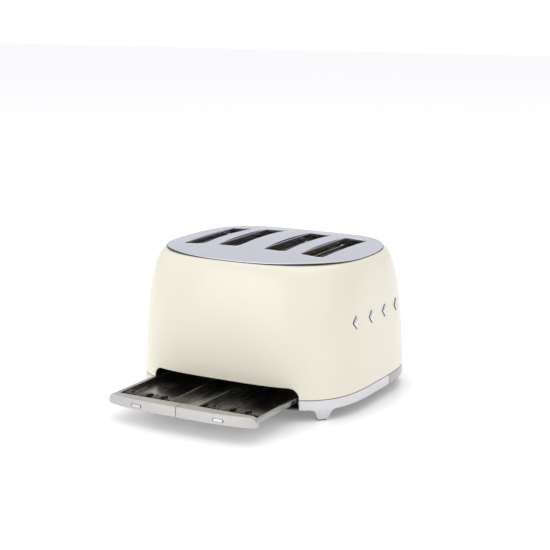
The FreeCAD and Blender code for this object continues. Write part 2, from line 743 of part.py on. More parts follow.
def crumb_trays():
    """Two trays: a front, a folded pan and the moulded combs in it."""
    for name, side in SIDES:
        front = tray_front_face(side).extrude(V(0, 0, FRONT_HEIGHT))
        half = TRAY_HALF - FRONT_CORNER - OVERCUT
        middle = side * (TRAY_HALF - half)
        ends = rounded_window(
            middle, FRONT_BOTTOM, half, FRONT_HEIGHT, FRONT_CORNER,
            -FRONT_REACH - OVERCUT, PAN_FRONT_Y + OVERCUT,
        )
        inner = side_box(
            side, 0, TRAY_HALF - half, -FRONT_REACH - OVERCUT, PAN_FRONT_Y + OVERCUT,
            0, 3 * FRONT_HEIGHT,
        )
        front = front.common(ends.fuse(inner))
        tab = rounded_window(
            side * TAB_X, FRONT_BOTTOM + TAB_LIFT, TAB_WIDTH / 2, TAB_HEIGHT / 2, TAB_CORNER,
            -FRONT_REACH - TAB_PROUD, PAN_FRONT_Y - OVERCUT,
        )
        save("tray_front_" + name, front.fuse(tab).removeSplitter())

        y0 = PAN_FRONT_Y
        y1 = PAN_BACK_Y
        z = PAN_BOTTOM
        wall = PAN_WALL
        pan = side_box(side, PAN_INNER_X, PAN_OUTER_X, y0, y1, z, z + wall)
        walls = (
            (PAN_INNER_X - wall / 2, PAN_INNER_X + wall / 2, y0, y1, z, z + PAN_RIM),
            (PAN_OUTER_X - wall, PAN_OUTER_X, y0, y1, z, z + PAN_SIDE),
            (PAN_OUTER_X - wall, PAN_OUTER_X + PAN_FLANGE, y0, y1, z + PAN_SIDE - wall, z + PAN_SIDE),
            (PAN_INNER_X, PAN_OUTER_X, y1 - wall, y1, z, z + PAN_SIDE),
            (TRAY_SEAM / 2, PAN_INNER_X, y0, y1, z + DECK_RISE, z + DECK_RISE + wall),
        )
        for wall_box in walls:
            pan = pan.fuse(side_box(side, *wall_box))
        save("tray_pan_" + name, pan.removeSplitter())

        start = -PAN_OUTER_X if side < 0 else PAN_INNER_X
        share = (PAN_OUTER_X - PAN_INNER_X) / COMB_SPAN
        clips = []
        for outline in clip_outlines():
            points = [V(start + share * x, PAN_FRONT_Y + y, z + wall) for x, y in outline]
            wire = Part.makePolygon(points + points[:1])
            clips.append(Part.Face(wire).extrude(V(0, 0, CLIP_HEIGHT)))
        save("tray_combs_" + name, clips)


def tray_bay():
    """Runners on the base and the dark liner inside the tray opening."""
    flange_under = PAN_BOTTOM + PAN_SIDE - PAN_WALL
    deck_under = PAN_BOTTOM + DECK_RISE
    middle = MIDDLE_RUNNER_HALF
    runners = [
        box(-middle, middle, -RUNNER_REACH, CHASSIS_BACK_Y, BASE_TOP, deck_under - RUNNER_CLEARANCE)
    ]
    inner = PAN_OUTER_X + RUNNER_GAP
    for _, side in SIDES:
        runners.append(side_box(
            side, inner, inner + RUNNER_WIDTH, -RUNNER_REACH, CHASSIS_BACK_Y,
            BASE_TOP, flange_under - RUNNER_CLEARANCE,
        ))
    save("tray_runners", runners)
    inner = ARCH_HALF + RETURN_WALL + LINER_GAP
    outer = inner + LINER_WALL
    back = CHASSIS_FRONT_Y - SHEET - SHELF_TIP - SLIT_CLEARANCE
    liner = box(-outer, outer, -BODY_HALF_Y, back, BASE_TOP, BAY_HEIGHT + LINER_WALL)
    liner = liner.cut(box(-inner, inner, -BODY_HALF_Y - 1, back + 1, 0, BAY_HEIGHT))
    save("tray_bay_liner", liner.common(outline_prism(-BAND_WALL - LINER_INSET, 0, 2 * BAY_HEIGHT)))


def slit_cutters(y0, y1):
    """Slits that the bread shelves travel in, and the guides' pivot holes."""
    half = SHELF_WIDTH / 2 + SLIT_CLEARANCE
    low = SHELF_TOP - SHELF_HEIGHT - CARRIAGE_TRAVEL - SLIT_CLEARANCE
    cutters = []
    for x in SLOT_XS:
        cutters.append(box(x - half, x + half, y0, y1, low, SHELF_TOP + SLIT_CLEARANCE))
        for offset in (-GUIDE_OFFSET, GUIDE_OFFSET):
            radius = GUIDE_PIVOT_RADIUS + GUIDE_PIVOT_CLEARANCE
            cutters.append(rod_y(x + offset, y0, y1, GUIDE_PIVOT_Z, radius))
    return cutters


def chassis():
    """End plates that carry the heaters, guides, reflectors and guide rods."""
    far = 2 * BODY_HALF_X
    beyond = box(-far, far, -far, far, BODY_BOTTOM, BODY_TOP).cut(hull(-SHELL_WALL - CHASSIS_GAP))
    front = box(
        -CHASSIS_HALF, CHASSIS_HALF, CHASSIS_FRONT_Y - SHEET, CHASSIS_FRONT_Y, BASE_TOP, CHASSIS_TOP
    )
    front = front.cut(
        box(-ARCH_HALF, ARCH_HALF, CHASSIS_FRONT_Y - OVERCUT, CHASSIS_FRONT_Y + OVERCUT, 0, BAY_HEIGHT)
    )
    for cutter in slit_cutters(CHASSIS_FRONT_Y - OVERCUT, CHASSIS_FRONT_Y + OVERCUT):
        front = front.cut(cutter)
    save("chassis_plate_tray", front.cut(beyond))

    y = CHASSIS_BACK_Y
    back = box(-CHASSIS_HALF, CHASSIS_HALF, y, y + SHEET, BASE_TOP, CHASSIS_TOP)
    for cutter in slit_cutters(y - OVERCUT, y + OVERCUT):
        back = back.cut(cutter)
    rods = []
    for _, side in SIDES:
        x = side * CARRIAGE_X
        for z in (BRACKET_LOW, BRACKET_HIGH):
            shelf = box(
                x - BRACKET_LEFT, x + BRACKET_RIGHT, y + SHEET / 2, y + BRACKET_DEPTH + SHEET,
                z, z + SHEET,
            )
            back = back.fuse(shelf)
            back = back.cut(rod_z(x, ROD_Y, z - 1, z + SHEET + 1, ROD_RADIUS + ROD_CLEARANCE))
        rods.append(rod_z(x, ROD_Y, ROD_BOTTOM, BRACKET_HIGH + SHEET + 1, ROD_RADIUS))
    save("chassis_plate_control", back.cut(beyond).removeSplitter())
    save("guide_rods", rods)

    reflectors = []
    ties = []
    for _, side in SIDES:
        for x in (REFLECTOR_INNER_X, REFLECTOR_OUTER_X):
            reflectors.append(side_box(
                side, x, x + REFLECTOR_WALL, CHASSIS_FRONT_Y, CHASSIS_BACK_Y, BOARD_BOTTOM, BOARD_TOP
            ))
        for z in (BOARD_BOTTOM + TIE_INSET, BOARD_TOP - TIE_INSET):
            x = side * TIE_X
            tie = rod_y(x, CHASSIS_FRONT_Y, CHASSIS_BACK_Y, z, TIE_RADIUS)
            ties.append(tie)
    save("reflectors", reflectors)
    save("tie_rods", ties)


def ribbon(face_x, outward):
    """Flat heating ribbon, folded to and fro on one face of a board."""
    y0 = CHASSIS_FRONT_Y + RIBBON_MARGIN
    y1 = CHASSIS_BACK_Y - RIBBON_MARGIN
    x0, x1 = sorted((face_x, face_x + outward * RIBBON_THICKNESS))
    pitch = (BOARD_TOP - BOARD_BOTTOM - 4 * RIBBON_MARGIN) / (RIBBON_ROWS - 1)
    rows = []
    for i in range(RIBBON_ROWS):
        z = BOARD_BOTTOM + 2 * RIBBON_MARGIN + i * pitch
        rows.append(box(x0, x1, y0, y1, z, z + RIBBON_WIDTH))
        if i < RIBBON_ROWS - 1:
            y = y1 - RIBBON_WIDTH if i % 2 else y0
            rows.append(box(x0, x1, y, y + RIBBON_WIDTH, z, z + pitch))
    return rows[0].multiFuse(rows[1:]).removeSplitter()


def heaters():
    """Mica boards between the slots, with ribbons on each face that looks at a slot."""
    half = BOARD_THICKNESS / 2
    for name, side in SIDES:
        boards = []
        ribbons = []
        for i, offset in enumerate(BOARD_OFFSETS):
            x = side * CARRIAGE_X + offset
            boards.append(
                box(x - half, x + half, CHASSIS_FRONT_Y, CHASSIS_BACK_Y, BOARD_BOTTOM, BOARD_TOP)
            )
            if i < 2:
                ribbons.append(ribbon(x + half, 1))
            if i > 0:
                ribbons.append(ribbon(x - half, -1))
        save("heater_boards_" + name, boards)
        save("heater_ribbons_" + name, ribbons)


def bread_rack(side):
    """Sheet rack of one carriage: two shelves, their crossbar, the keeper and the spring lug."""
    middle = side * CARRIAGE_X
    top = SHELF_TOP
    low = top - SHELF_HEIGHT
    bar_y = CHASSIS_BACK_Y + SHEET + CROSSBAR_GAP
    half_pitch = SLOT_PITCH / 2
    half = SHELF_WIDTH / 2
    rack = box(
        middle - half_pitch - half, middle + half_pitch + half,
        bar_y, bar_y + CROSSBAR_THICKNESS, top - CROSSBAR_HEIGHT, top,
    )
    for x in (middle - half_pitch, middle + half_pitch):
        tip = CHASSIS_FRONT_Y - SHEET - SHELF_TIP
        rack = rack.fuse(box(x - half, x + half, tip, bar_y + 1, low, top))
        for i in range(FINGER_COUNT):
            y = SLOT_SHIFT_Y + SLOT_LENGTH * ((i + 0.5) / FINGER_COUNT - 0.5)
            finger = box(
                x - FINGER_WIDTH / 2, x + FINGER_WIDTH / 2, y - FINGER_HALF, y + FINGER_HALF,
                top - FINGER_HALF, top,
            )
            rack = rack.fuse(finger)
    magnet_x = middle + MAGNET_OFFSET
    spring_x = middle - SPRING_OFFSET
    rack = rack.fuse(box(
        magnet_x - MAGNET_WIDTH / 2, magnet_x + MAGNET_WIDTH / 2, bar_y + 1,
        ROD_Y + MAGNET_DEPTH / 2, top - KEEPER_THICKNESS, top,
    ))
    rack = rack.fuse(box(
        spring_x - HOOK_HALF, spring_x + HOOK_HALF, bar_y + 1, ROD_Y + SPRING_RADIUS,
        HOOK_Z - HOOK_THICKNESS, HOOK_Z,
    ))
    return rack.removeSplitter()


def carriages():
    """Racks, sliders with their lever arms, lever knobs, springs and magnets."""
    bar_back = CHASSIS_BACK_Y + SHEET + CROSSBAR_GAP + CROSSBAR_THICKNESS
    cores = []
    coils = []
    for name, side in SIDES:
        x = side * CARRIAGE_X
        save("bread_rack_" + name, bread_rack(side))

        slider_y1 = ROD_Y + SLIDER_DEPTH / 2
        slider_z0 = SHELF_TOP - CROSSBAR_HEIGHT
        slider = box(
            x - SLIDER_WIDTH / 2, x + SLIDER_WIDTH / 2, bar_back, slider_y1,
            slider_z0, slider_z0 + SLIDER_HEIGHT,
        )
        slider = slider.cut(
            rod_z(x, ROD_Y, 0, 2 * SHELF_TOP, ROD_RADIUS + ROD_CLEARANCE)
        )
        arm_half = ARM_SIZE / 2
        arm_end = LEVER_Y + SOCKET_DEPTH
        arm = box(
            x - arm_half, x + arm_half, slider_y1 - OVERLAP, arm_end,
            ARM_Z - arm_half, ARM_Z + arm_half,
        )
        save("slider_" + name, slider.fuse(arm).removeSplitter())

        lever = box(
            x - LEVER_WIDTH / 2, x + LEVER_WIDTH / 2, LEVER_Y, LEVER_TIP_Y,
            ARM_Z - LEVER_HEIGHT / 2, ARM_Z + LEVER_HEIGHT / 2,
        )
        lever = lever.makeFillet(LEVER_HEIGHT / 2 - 0.5, lever.Edges)
        save("lever_knob_" + name, lever.cut(arm))

        spring_x = x - SPRING_OFFSET
        spring_z0 = HOOK_Z + SPRING_WIRE + SPRING_END_GAP
        length = BRACKET_HIGH - HOOK_Z - 2 * (SPRING_WIRE + SPRING_END_GAP)
        helix = Part.makeHelix(length / SPRING_TURNS, length, SPRING_RADIUS - SPRING_WIRE)
        circle = Part.Wire([Part.makeCircle(
            SPRING_WIRE, V(SPRING_RADIUS - SPRING_WIRE, 0, 0), V(0, 1, 0)
        )])
        spring = Part.Wire(helix).makePipeShell([circle], True, True)
        spring.translate(V(spring_x, ROD_Y, spring_z0))
        save("return_spring_" + name, spring)

        magnet_x = x + MAGNET_OFFSET
        base = BRACKET_LOW + SHEET
        top = SHELF_TOP - KEEPER_THICKNESS - CARRIAGE_TRAVEL - MAGNET_GAP
        half_w = MAGNET_WIDTH / 2
        half_d = MAGNET_DEPTH / 2
        near = ROD_Y + half_d - YOKE_DEPTH
        far = ROD_Y + half_d
        yoke = box(magnet_x - half_w, magnet_x + half_w, near, far, base, top)
        leg = MAGNET_WIDTH / 4
        foot = base + YOKE_FOOT
        gap = box(
            magnet_x - half_w + leg, magnet_x + half_w - leg, near - 1, far + 1, foot, top + 1
        )
        core = yoke.cut(gap)
        cores.append(core)
        bobbin = box(
            magnet_x - half_w + leg, magnet_x + half_w - leg, near, far, foot, top - COIL_DROP
        )
        coils.append(bobbin)
    save("magnet_cores", cores)
    save("magnet_coils", coils)


def guide_cage(pivot_x):
    """One welded wire guide, standing upright on its pivot wire."""
    y0 = SLOT_SHIFT_Y - SLOT_LENGTH / 2 + GUIDE_END_GAP
    y1 = SLOT_SHIFT_Y + SLOT_LENGTH / 2 - GUIDE_END_GAP
    cage = rod_y(
        pivot_x, CHASSIS_FRONT_Y - SHEET - 1, CHASSIS_BACK_Y + SHEET + 1,
        GUIDE_PIVOT_Z, GUIDE_PIVOT_RADIUS,
    )
    wires = []
    rails = [(GUIDE_PIVOT_Z + GUIDE_TOP_Z) / 2]
    for i in range(3):
        rails.append(GUIDE_TOP_Z - GUIDE_RAIL_PITCH * i)
    for z in rails:
        wires.append(rod_y(pivot_x, y0, y1, z, GUIDE_WIRE_RADIUS))
    for i in range(GUIDE_WIRES):
        y = y0 + GUIDE_TAIL + (y1 - y0 - 2 * GUIDE_TAIL) * i / (GUIDE_WIRES - 1)
        wires.append(rod_z(pivot_x, y, GUIDE_PIVOT_Z, GUIDE_TOP_Z, GUIDE_WIRE_RADIUS))
    return cage.multiFuse(wires)


def guides():
    """Two guides in each slot, numbered from the left."""
    number = 0
    for x in SLOT_XS:
        for offset in (-GUIDE_OFFSET, GUIDE_OFFSET):
            number += 1
            save("guide_cage_" + str(number), guide_cage(x + offset))


def controls():
    """Bezels, lit rings, boards, browning knobs and buttons."""
    bezels = []
    rings = []
    boards = []
    bezel_skin = hull(FACE_GAP + BEZEL_WALL).cut(hull(FACE_GAP))
    ring_seat = hull(2 * FACE_GAP + BEZEL_WALL)
    y_out = BODY_HALF_Y + 2 * OVERCUT
    for name, side in SIDES:
        x = side * CARRIAGE_X
        middle = BEZEL_BOTTOM + BEZEL_HEIGHT / 2
        bezel = rounded_window(
            x, middle, BEZEL_WIDTH / 2, BEZEL_HEIGHT / 2, BEZEL_CORNER, BODY_HALF_Y / 2, y_out
        )
        slot_top = ARM_Z + ARM_SIZE / 2 + LEVER_SLOT_SPARE
        slot_low = ARM_Z - CARRIAGE_TRAVEL - ARM_SIZE / 2 - LEVER_SLOT_SPARE
        bezel = bezel.cut(rounded_window(
            x, (slot_top + slot_low) / 2, LEVER_SLOT_WIDTH / 2, (slot_top - slot_low) / 2,
            LEVER_SLOT_CORNER, 0, y_out + OVERCUT,
        ))
        bezel = bezel.cut(rod_y(x, 0, y_out + OVERCUT, KNOB_Z, KNOB_SHAFT_RADIUS + 1))
        for i in range(3):
            bx = x + (i - 1) * BUTTON_PITCH
            hole = rod_y(bx, 0, y_out + OVERCUT, BUTTON_Z, BUTTON_RADIUS + BUTTON_CLEARANCE)
            bezel = bezel.cut(hole)
        bezels.append(bezel.common(bezel_skin))
        ring = rod_y(x, BODY_HALF_Y / 2, RING_FRONT_Y, KNOB_Z, KNOB_RADIUS + RING_WALL)
        ring = ring.cut(rod_y(x, 0, y_out, KNOB_Z, KNOB_RADIUS - 1)).cut(ring_seat)
        rings.append(ring)

        pcb_front = PCB_Y + PCB_THICKNESS
        board = box(
            x - PCB_WIDTH / 2, x + PCB_WIDTH / 2, PCB_Y, pcb_front, PCB_BOTTOM, PCB_BOTTOM + PCB_HEIGHT
        )
        for dx in (-1, 1):
            for z in (PCB_BOTTOM + POST_INSET_Z, PCB_BOTTOM + PCB_HEIGHT - POST_INSET_Z):
                px = x + dx * (PCB_WIDTH / 2 - POST_INSET_X)
                outer_x = abs(px) + POST_RADIUS
                end = wall_y(outer_x, z + POST_RADIUS, -SHELL_WALL - 3 * FACE_GAP)
                board = board.fuse(rod_y(px, pcb_front - OVERLAP, end, z, POST_RADIUS))
        socket = rod_y(
            x, pcb_front - OVERLAP, pcb_front + CONTROL_DEPTH, KNOB_Z, KNOB_SHAFT_RADIUS + CONTROL_WALL
        )
        socket = socket.cut(
            rod_y(x, pcb_front, y_out, KNOB_Z, KNOB_SHAFT_RADIUS + KNOB_CLEARANCE)
        )
        board = board.fuse(socket)
        for i in range(3):
            bx = x + (i - 1) * BUTTON_PITCH
            switch = box(
                bx - SWITCH_HALF, bx + SWITCH_HALF, pcb_front - OVERLAP, pcb_front + SWITCH_HEIGHT,
                BUTTON_Z - SWITCH_HALF, BUTTON_Z + SWITCH_HALF,
            )
            board = board.fuse(switch)
            head = rod_y(bx, BUTTON_FRONT_Y - BUTTON_HEAD, BUTTON_FRONT_Y, BUTTON_Z, BUTTON_RADIUS)
            stem_end = pcb_front + SWITCH_HEIGHT + PRESS_TRAVEL + STEM_GAP
            stem = rod_y(bx, stem_end, BUTTON_FRONT_Y - 1, BUTTON_Z, BUTTON_STEM_RADIUS)
            save("button_" + name + "_" + str(i + 1), head.fuse(stem).removeSplitter())
        boards.append(board.removeSplitter())

        knob = rod_y(x, KNOB_Y, KNOB_FRONT_Y, KNOB_Z, KNOB_RADIUS)
        knob = knob.fuse(rod_y(x, pcb_front + STEM_GAP, KNOB_Y + 1, KNOB_Z, KNOB_SHAFT_RADIUS))
        knob = knob.cut(rod_y(x, 0, y_out + KNOB_DEPTH, KNOB_Z, KNOB_SHAFT_BORE))
        well = KNOB_FRONT_Y - STOP_THICKNESS - PRESS_TRAVEL - STEM_GAP
        knob = knob.cut(rod_y(x, well, KNOB_FRONT_Y + 1, KNOB_Z, STOP_RADIUS + BUTTON_CLEARANCE))
        save("browning_knob_" + name, knob)

        stop_back = KNOB_FRONT_Y - STOP_THICKNESS
        stop = rod_y(x, stop_back, KNOB_FRONT_Y + 1, KNOB_Z, STOP_RADIUS)
        stop = stop.fuse(
            rod_y(x, pcb_front + PRESS_TRAVEL + STEM_GAP, stop_back + 1, KNOB_Z, STOP_STEM_RADIUS)
        )
        save("stop_button_" + name, stop.removeSplitter())
    save("control_bezels", bezels)
    save("knob_rings", rings)
    save("control_boards", boards)


def ornaments():
    """Plain raised lozenges along the badge side."""
    skin = hull(ORNAMENT_PROUD).cut(hull(FACE_GAP))
    pieces = []
    for i in range(ORNAMENT_COUNT):
        y = ORNAMENT_FIRST_Y + ORNAMENT_PITCH * i
        points = []
        for dy, dz in ((1, 0), (0, 1), (-1, 0), (0, -1), (1, 0)):
            corner_y = y + dy * ORNAMENT_WIDTH / 2
            corner_z = ORNAMENT_Z + dz * ORNAMENT_HEIGHT / 2
            points.append(V(BODY_HALF_X / 2, corner_y, corner_z))
        lozenge = Part.Face(Part.makePolygon(points)).extrude(V(BODY_HALF_X, 0, 0))
        pieces.append(lozenge.common(skin))
    save("badge_ornaments", pieces)


def main():
    """Write every part."""
    os.makedirs("parts", exist_ok=True)
    body_shell()
    top_plate()
    bands_and_feet()
    base_plate()
    cord_inlet()
    crumb_trays()
    tray_bay()
    chassis()
    heaters()
    carriages()
    guides()
    controls()
    ornaments()


main()
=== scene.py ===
"""Pop up toaster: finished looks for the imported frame, laid out as a Blender add-on."""

import json
import math

import bmesh
import bpy
from mathutils import Matrix, Vector


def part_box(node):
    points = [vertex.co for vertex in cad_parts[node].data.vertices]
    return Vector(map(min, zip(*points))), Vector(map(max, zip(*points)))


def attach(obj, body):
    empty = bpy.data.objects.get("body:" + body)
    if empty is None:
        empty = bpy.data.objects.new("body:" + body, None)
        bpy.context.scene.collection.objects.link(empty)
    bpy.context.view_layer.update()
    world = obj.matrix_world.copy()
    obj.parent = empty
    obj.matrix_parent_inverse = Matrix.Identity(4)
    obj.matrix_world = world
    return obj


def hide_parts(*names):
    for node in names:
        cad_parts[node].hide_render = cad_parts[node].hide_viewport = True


bl_info = {
    "name": "Pop up toaster",
    "version": (1, 0, 0),
    "blender": (4, 5, 0),
    "location": "3D View > Sidebar > Toaster",
    "description": "Builds the visible pieces of a pop up toaster around its packed frame",
    "category": "Object",
}

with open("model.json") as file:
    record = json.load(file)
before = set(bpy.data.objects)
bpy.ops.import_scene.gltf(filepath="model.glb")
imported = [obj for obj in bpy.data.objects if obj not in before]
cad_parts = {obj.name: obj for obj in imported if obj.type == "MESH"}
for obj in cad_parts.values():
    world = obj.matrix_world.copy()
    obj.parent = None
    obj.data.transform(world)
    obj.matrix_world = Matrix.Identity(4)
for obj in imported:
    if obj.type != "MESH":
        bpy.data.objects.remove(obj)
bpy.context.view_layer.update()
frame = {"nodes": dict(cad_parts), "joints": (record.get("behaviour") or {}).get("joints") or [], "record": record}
NODES = frame["nodes"]

MM = 0.001

SHELL_LOW, SHELL_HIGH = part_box("body_shell")
PLATE_LOW, PLATE_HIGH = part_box("top_plate")
BAND_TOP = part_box("base_band_control")[1].z
BAND_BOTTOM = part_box("base_plate")[0].z
FOOT_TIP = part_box("foot_pads")[1].z
PAN_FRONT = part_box("tray_pan_right")[0].y

BODY_Y = (SHELL_LOW.y + SHELL_HIGH.y) / 2
BODY_HALF_X = SHELL_HIGH.x
BODY_HALF_Y = (SHELL_HIGH.y - SHELL_LOW.y) / 2
BODY_BOTTOM = SHELL_LOW.z
BODY_TOP = SHELL_HIGH.z
RIM_HALF_X = PLATE_HIGH.x
RIM_HALF_Y = (PLATE_HIGH.y - PLATE_LOW.y) / 2
SIDES = (("left", -1), ("right", 1))

# The wall leans by one power of the height and rolls over at the shoulder by another.
LEAN_POWER = 1.2
SHOULDER_POWER = 4
PLATE_OVERHANG = 0.4 * MM

# Points closer than this are one point of a mesh.
WELD = 1e-6


# Settings

class ToasterSizes(bpy.types.PropertyGroup):
    """Sizes of the visible pieces that a user would change."""

    body_power: bpy.props.FloatProperty(
        name="Outline squareness", description="Power of the body's rounded outline at the bottom",
        default=3.65, min=2.0, max=6.0)
    top_power: bpy.props.FloatProperty(
        name="Rim squareness", description="Power of the rounded outline at the rim",
        default=2.6, min=2.0, max=6.0)
    lean_share: bpy.props.FloatProperty(
        name="Lean share", description="Share of the inset that the walls' lean makes",
        default=0.33, min=0.0, max=1.0, subtype="FACTOR")
    shell_wall: bpy.props.FloatProperty(
        name="Shell wall", description="Thickness of the enamelled shell",
        default=1.2 * MM, min=0.5 * MM, unit="LENGTH")
    shell_flange: bpy.props.FloatProperty(
        name="Shell flange", description="Width of the shell's flange under the top plate",
        default=7.0 * MM, min=1.0 * MM, unit="LENGTH")
    arch_half: bpy.props.FloatProperty(
        name="Tray arch half width", description="Half width of the arch over the crumb trays",
        default=111.5 * MM, min=20.0 * MM, unit="LENGTH")
    arch_rise: bpy.props.FloatProperty(
        name="Tray arch rise", description="Height of the arch above the shell's lower edge",
        default=14.9 * MM, min=5.0 * MM, unit="LENGTH")
    arch_corner: bpy.props.FloatProperty(
        name="Tray arch corner", description="Radius of the arch's upper corners",
        default=13.0 * MM, min=1.0 * MM, unit="LENGTH")
    dome_rise: bpy.props.FloatProperty(
        name="Dome rise", description="How far the top plate's middle stands above its rim",
        default=10.1 * MM, min=0.0, unit="LENGTH")
    dome_power: bpy.props.FloatProperty(
        name="Dome squareness", description="Power of the top plate's dome",
        default=2.2, min=1.0, max=6.0)
    plate_wall: bpy.props.FloatProperty(
        name="Plate thickness", description="Thickness of the top plate's sheet",
        default=1.0 * MM, min=0.4 * MM, unit="LENGTH")
    slot_width: bpy.props.FloatProperty(
        name="Slot width", description="Width of one bread slot",
        default=32.0 * MM, min=10.0 * MM, unit="LENGTH")
    slot_length: bpy.props.FloatProperty(
        name="Slot length", description="Length of one bread slot",
        default=134.0 * MM, min=50.0 * MM, unit="LENGTH")
    slot_corner: bpy.props.FloatProperty(
        name="Slot corner", description="Radius of a bread slot's corners",
        default=5.0 * MM, min=1.0 * MM, unit="LENGTH")
    slot_inner: bpy.props.FloatProperty(
        name="Inner slot place", description="Distance of the inner slots from the middle",
        default=35.5 * MM, min=10.0 * MM, unit="LENGTH")
    slot_pitch: bpy.props.FloatProperty(
        name="Slot pitch", description="Distance between the two slots of one side",
        default=55.5 * MM, min=20.0 * MM, unit="LENGTH")
    slot_shift: bpy.props.FloatProperty(
        name="Slot shift", description="How far the slots stand towards the control end",
        default=2.3 * MM, unit="LENGTH")
    lip_width: bpy.props.FloatProperty(
        name="Slot lip width", description="Width of the rolled lip round a bread slot",
        default=1.7 * MM, min=0.3 * MM, unit="LENGTH")
    band_wall: bpy.props.FloatProperty(
        name="Band wall", description="Thickness of the base band",
        default=2.4 * MM, min=0.5 * MM, unit="LENGTH")
    band_seam: bpy.props.FloatProperty(
        name="Band seam place", description="Distance of the band's side seams from the middle",
        default=29.0 * MM, unit="LENGTH")
    foot_angle: bpy.props.FloatProperty(
        name="Foot direction", description="Direction of a foot from the middle of the body",
        default=math.radians(39.9), subtype="ANGLE")
    foot_top: bpy.props.FloatProperty(
        name="Foot top width", description="Width of a foot where it leaves the band",
        default=23.0 * MM, min=5.0 * MM, unit="LENGTH")
    foot_tip: bpy.props.FloatProperty(
        name="Foot tip width", description="Width of a foot at the table",
        default=15.5 * MM, min=5.0 * MM, unit="LENGTH")
    foot_flare: bpy.props.FloatProperty(
        name="Foot flare", description="Size of the flare between a foot and the band",
        default=7.0 * MM, min=0.0, unit="LENGTH")
    foot_depth: bpy.props.FloatProperty(
        name="Foot depth", description="Thickness of a foot from outside to inside",
        default=12.0 * MM, min=2.0 * MM, unit="LENGTH")
    foot_lean: bpy.props.FloatProperty(
        name="Foot lean", description="How far a foot leans in at the table",
        default=4.2 * MM, unit="LENGTH")
    tray_drawn: bpy.props.FloatProperty(
        name="Tray drawn", description="How far the crumb trays stand drawn out",
        default=104.0 * MM, min=0.0, unit="LENGTH")
    front_corner: bpy.props.FloatProperty(
        name="Tray front corner", description="Radius of a tray front's upper outer corner",
        default=9.0 * MM, min=1.0 * MM, unit="LENGTH")
    tab_place: bpy.props.FloatProperty(
        name="Tab place", description="Distance of a finger tab from the middle",
        default=61.0 * MM, unit="LENGTH")
    pan_wall: bpy.props.FloatProperty(
        name="Pan sheet", description="Thickness of a crumb tray's sheet",
        default=0.8 * MM, min=0.3 * MM, unit="LENGTH")
    ornament_count: bpy.props.IntProperty(
        name="Ornaments", description="Number of raised lozenges on the badge side",
        default=4, min=0, max=8)


class ToasterColours(bpy.types.PropertyGroup):
    """Colours that a user would change, as hex values."""

    enamel: bpy.props.StringProperty(
        name="Enamel", description="Colour of the body's enamel, sRGB hex", default="EAE5D3")
    top_steel: bpy.props.StringProperty(
        name="Top steel", description="Colour of the brushed top plate, sRGB hex", default="DCDEE8")
    band_chrome: bpy.props.StringProperty(
        name="Band chrome", description="Colour of the satin chrome band, sRGB hex",
        default="D8D6D8")
    tray_steel: bpy.props.StringProperty(
        name="Tray steel", description="Colour of the crumb trays' steel, sRGB hex",
        default="B4B2AF")
    mouldings: bpy.props.StringProperty(
        name="Mouldings", description="Colour of the black mouldings, sRGB hex", default="1D1C1B")


# Maths of the shape

def superellipse(half_x, half_y, power, angle):
    """Point of a superellipse in one direction from its middle."""
    cos = math.cos(angle)
    sin = math.sin(angle)
    radius = (abs(cos / half_x) ** power + abs(sin / half_y) ** power) ** (-1 / power)
    return radius * cos, radius * sin


def body_section(sizes, z, grow=0.0):
    """Half sizes and power of the body's outline at a height."""
    rise = min(1.0, max(0.0, (z - BODY_BOTTOM) / (BODY_TOP - BODY_BOTTOM)))
    shoulder = 1 - math.sqrt(max(0.0, 1 - rise ** SHOULDER_POWER))
    inset = sizes.lean_share * rise ** LEAN_POWER + (1 - sizes.lean_share) * shoulder
    top_x = BODY_HALF_X - RIM_HALF_X + PLATE_OVERHANG
    top_y = BODY_HALF_Y - RIM_HALF_Y + PLATE_OVERHANG
    return (
        BODY_HALF_X - top_x * inset + grow,
        BODY_HALF_Y - top_y * inset + grow,
        sizes.body_power + (sizes.top_power - sizes.body_power) * inset,
    )


def body_point(sizes, angle, z, grow=0.0):
    """Point of the body's outside, in one direction at one height."""
    half_x, half_y, power = body_section(sizes, z, grow)
    x, y = superellipse(half_x, half_y, power, angle)
    return Vector((x, BODY_Y + y, z))


def end_y(sizes, x, z, grow=0.0):
    """Distance of the body's end face from the middle, at a place on it."""
    half_x, half_y, power = body_section(sizes, z, grow)
    return half_y * max(0.0, 1 - abs(x / half_x) ** power) ** (1 / power)


def side_x(sizes, y, z, grow=0.0):
    """Distance of the body's side face from the middle, at a place on it."""
    half_x, half_y, power = body_section(sizes, z, grow)
    return half_x * max(0.0, 1 - abs((y - BODY_Y) / half_y) ** power) ** (1 / power)


def dome_z(sizes, x, y):
    """Height of the top plate's upper surface."""
    rim = PLATE_HIGH.z - sizes.dome_rise
    across = 1 - min(1.0, abs(x / RIM_HALF_X)) ** sizes.dome_power
    along = 1 - min(1.0, abs((y - BODY_Y) / RIM_HALF_Y)) ** sizes.dome_power
    return rim + sizes.dome_rise * across * along


def rounded_loop(half_u, half_v, radius, steps=6):
    """Points of a rounded rectangle, anticlockwise from its right side."""
    points = []
    for i, (su, sv) in enumerate(((1, 1), (-1, 1), (-1, -1), (1, -1))):
        for k in range(steps + 1):
            turn = math.pi / 2 * (i + k / steps)
            points.append((
                su * (half_u - radius) + radius * math.cos(turn),
                sv * (half_v - radius) + radius * math.sin(turn),
            ))
    return points


def filleted(points, radius, steps=4):
    """Open run of 2-D points with its corners rounded."""
    result = [Vector(points[0])]
    for before, corner, after in zip(points, points[1:], points[2:]):
        corner = Vector(corner)
        come = (corner - Vector(before)).normalized()
        leave = (Vector(after) - corner).normalized()
        start = corner - come * radius
        end = corner + leave * radius
        for k in range(steps + 1):
            t = k / steps
            result.append((1 - t) ** 2 * start + 2 * t * (1 - t) * corner + t ** 2 * end)
    result.append(Vector(points[-1]))
    return result


# Making pieces

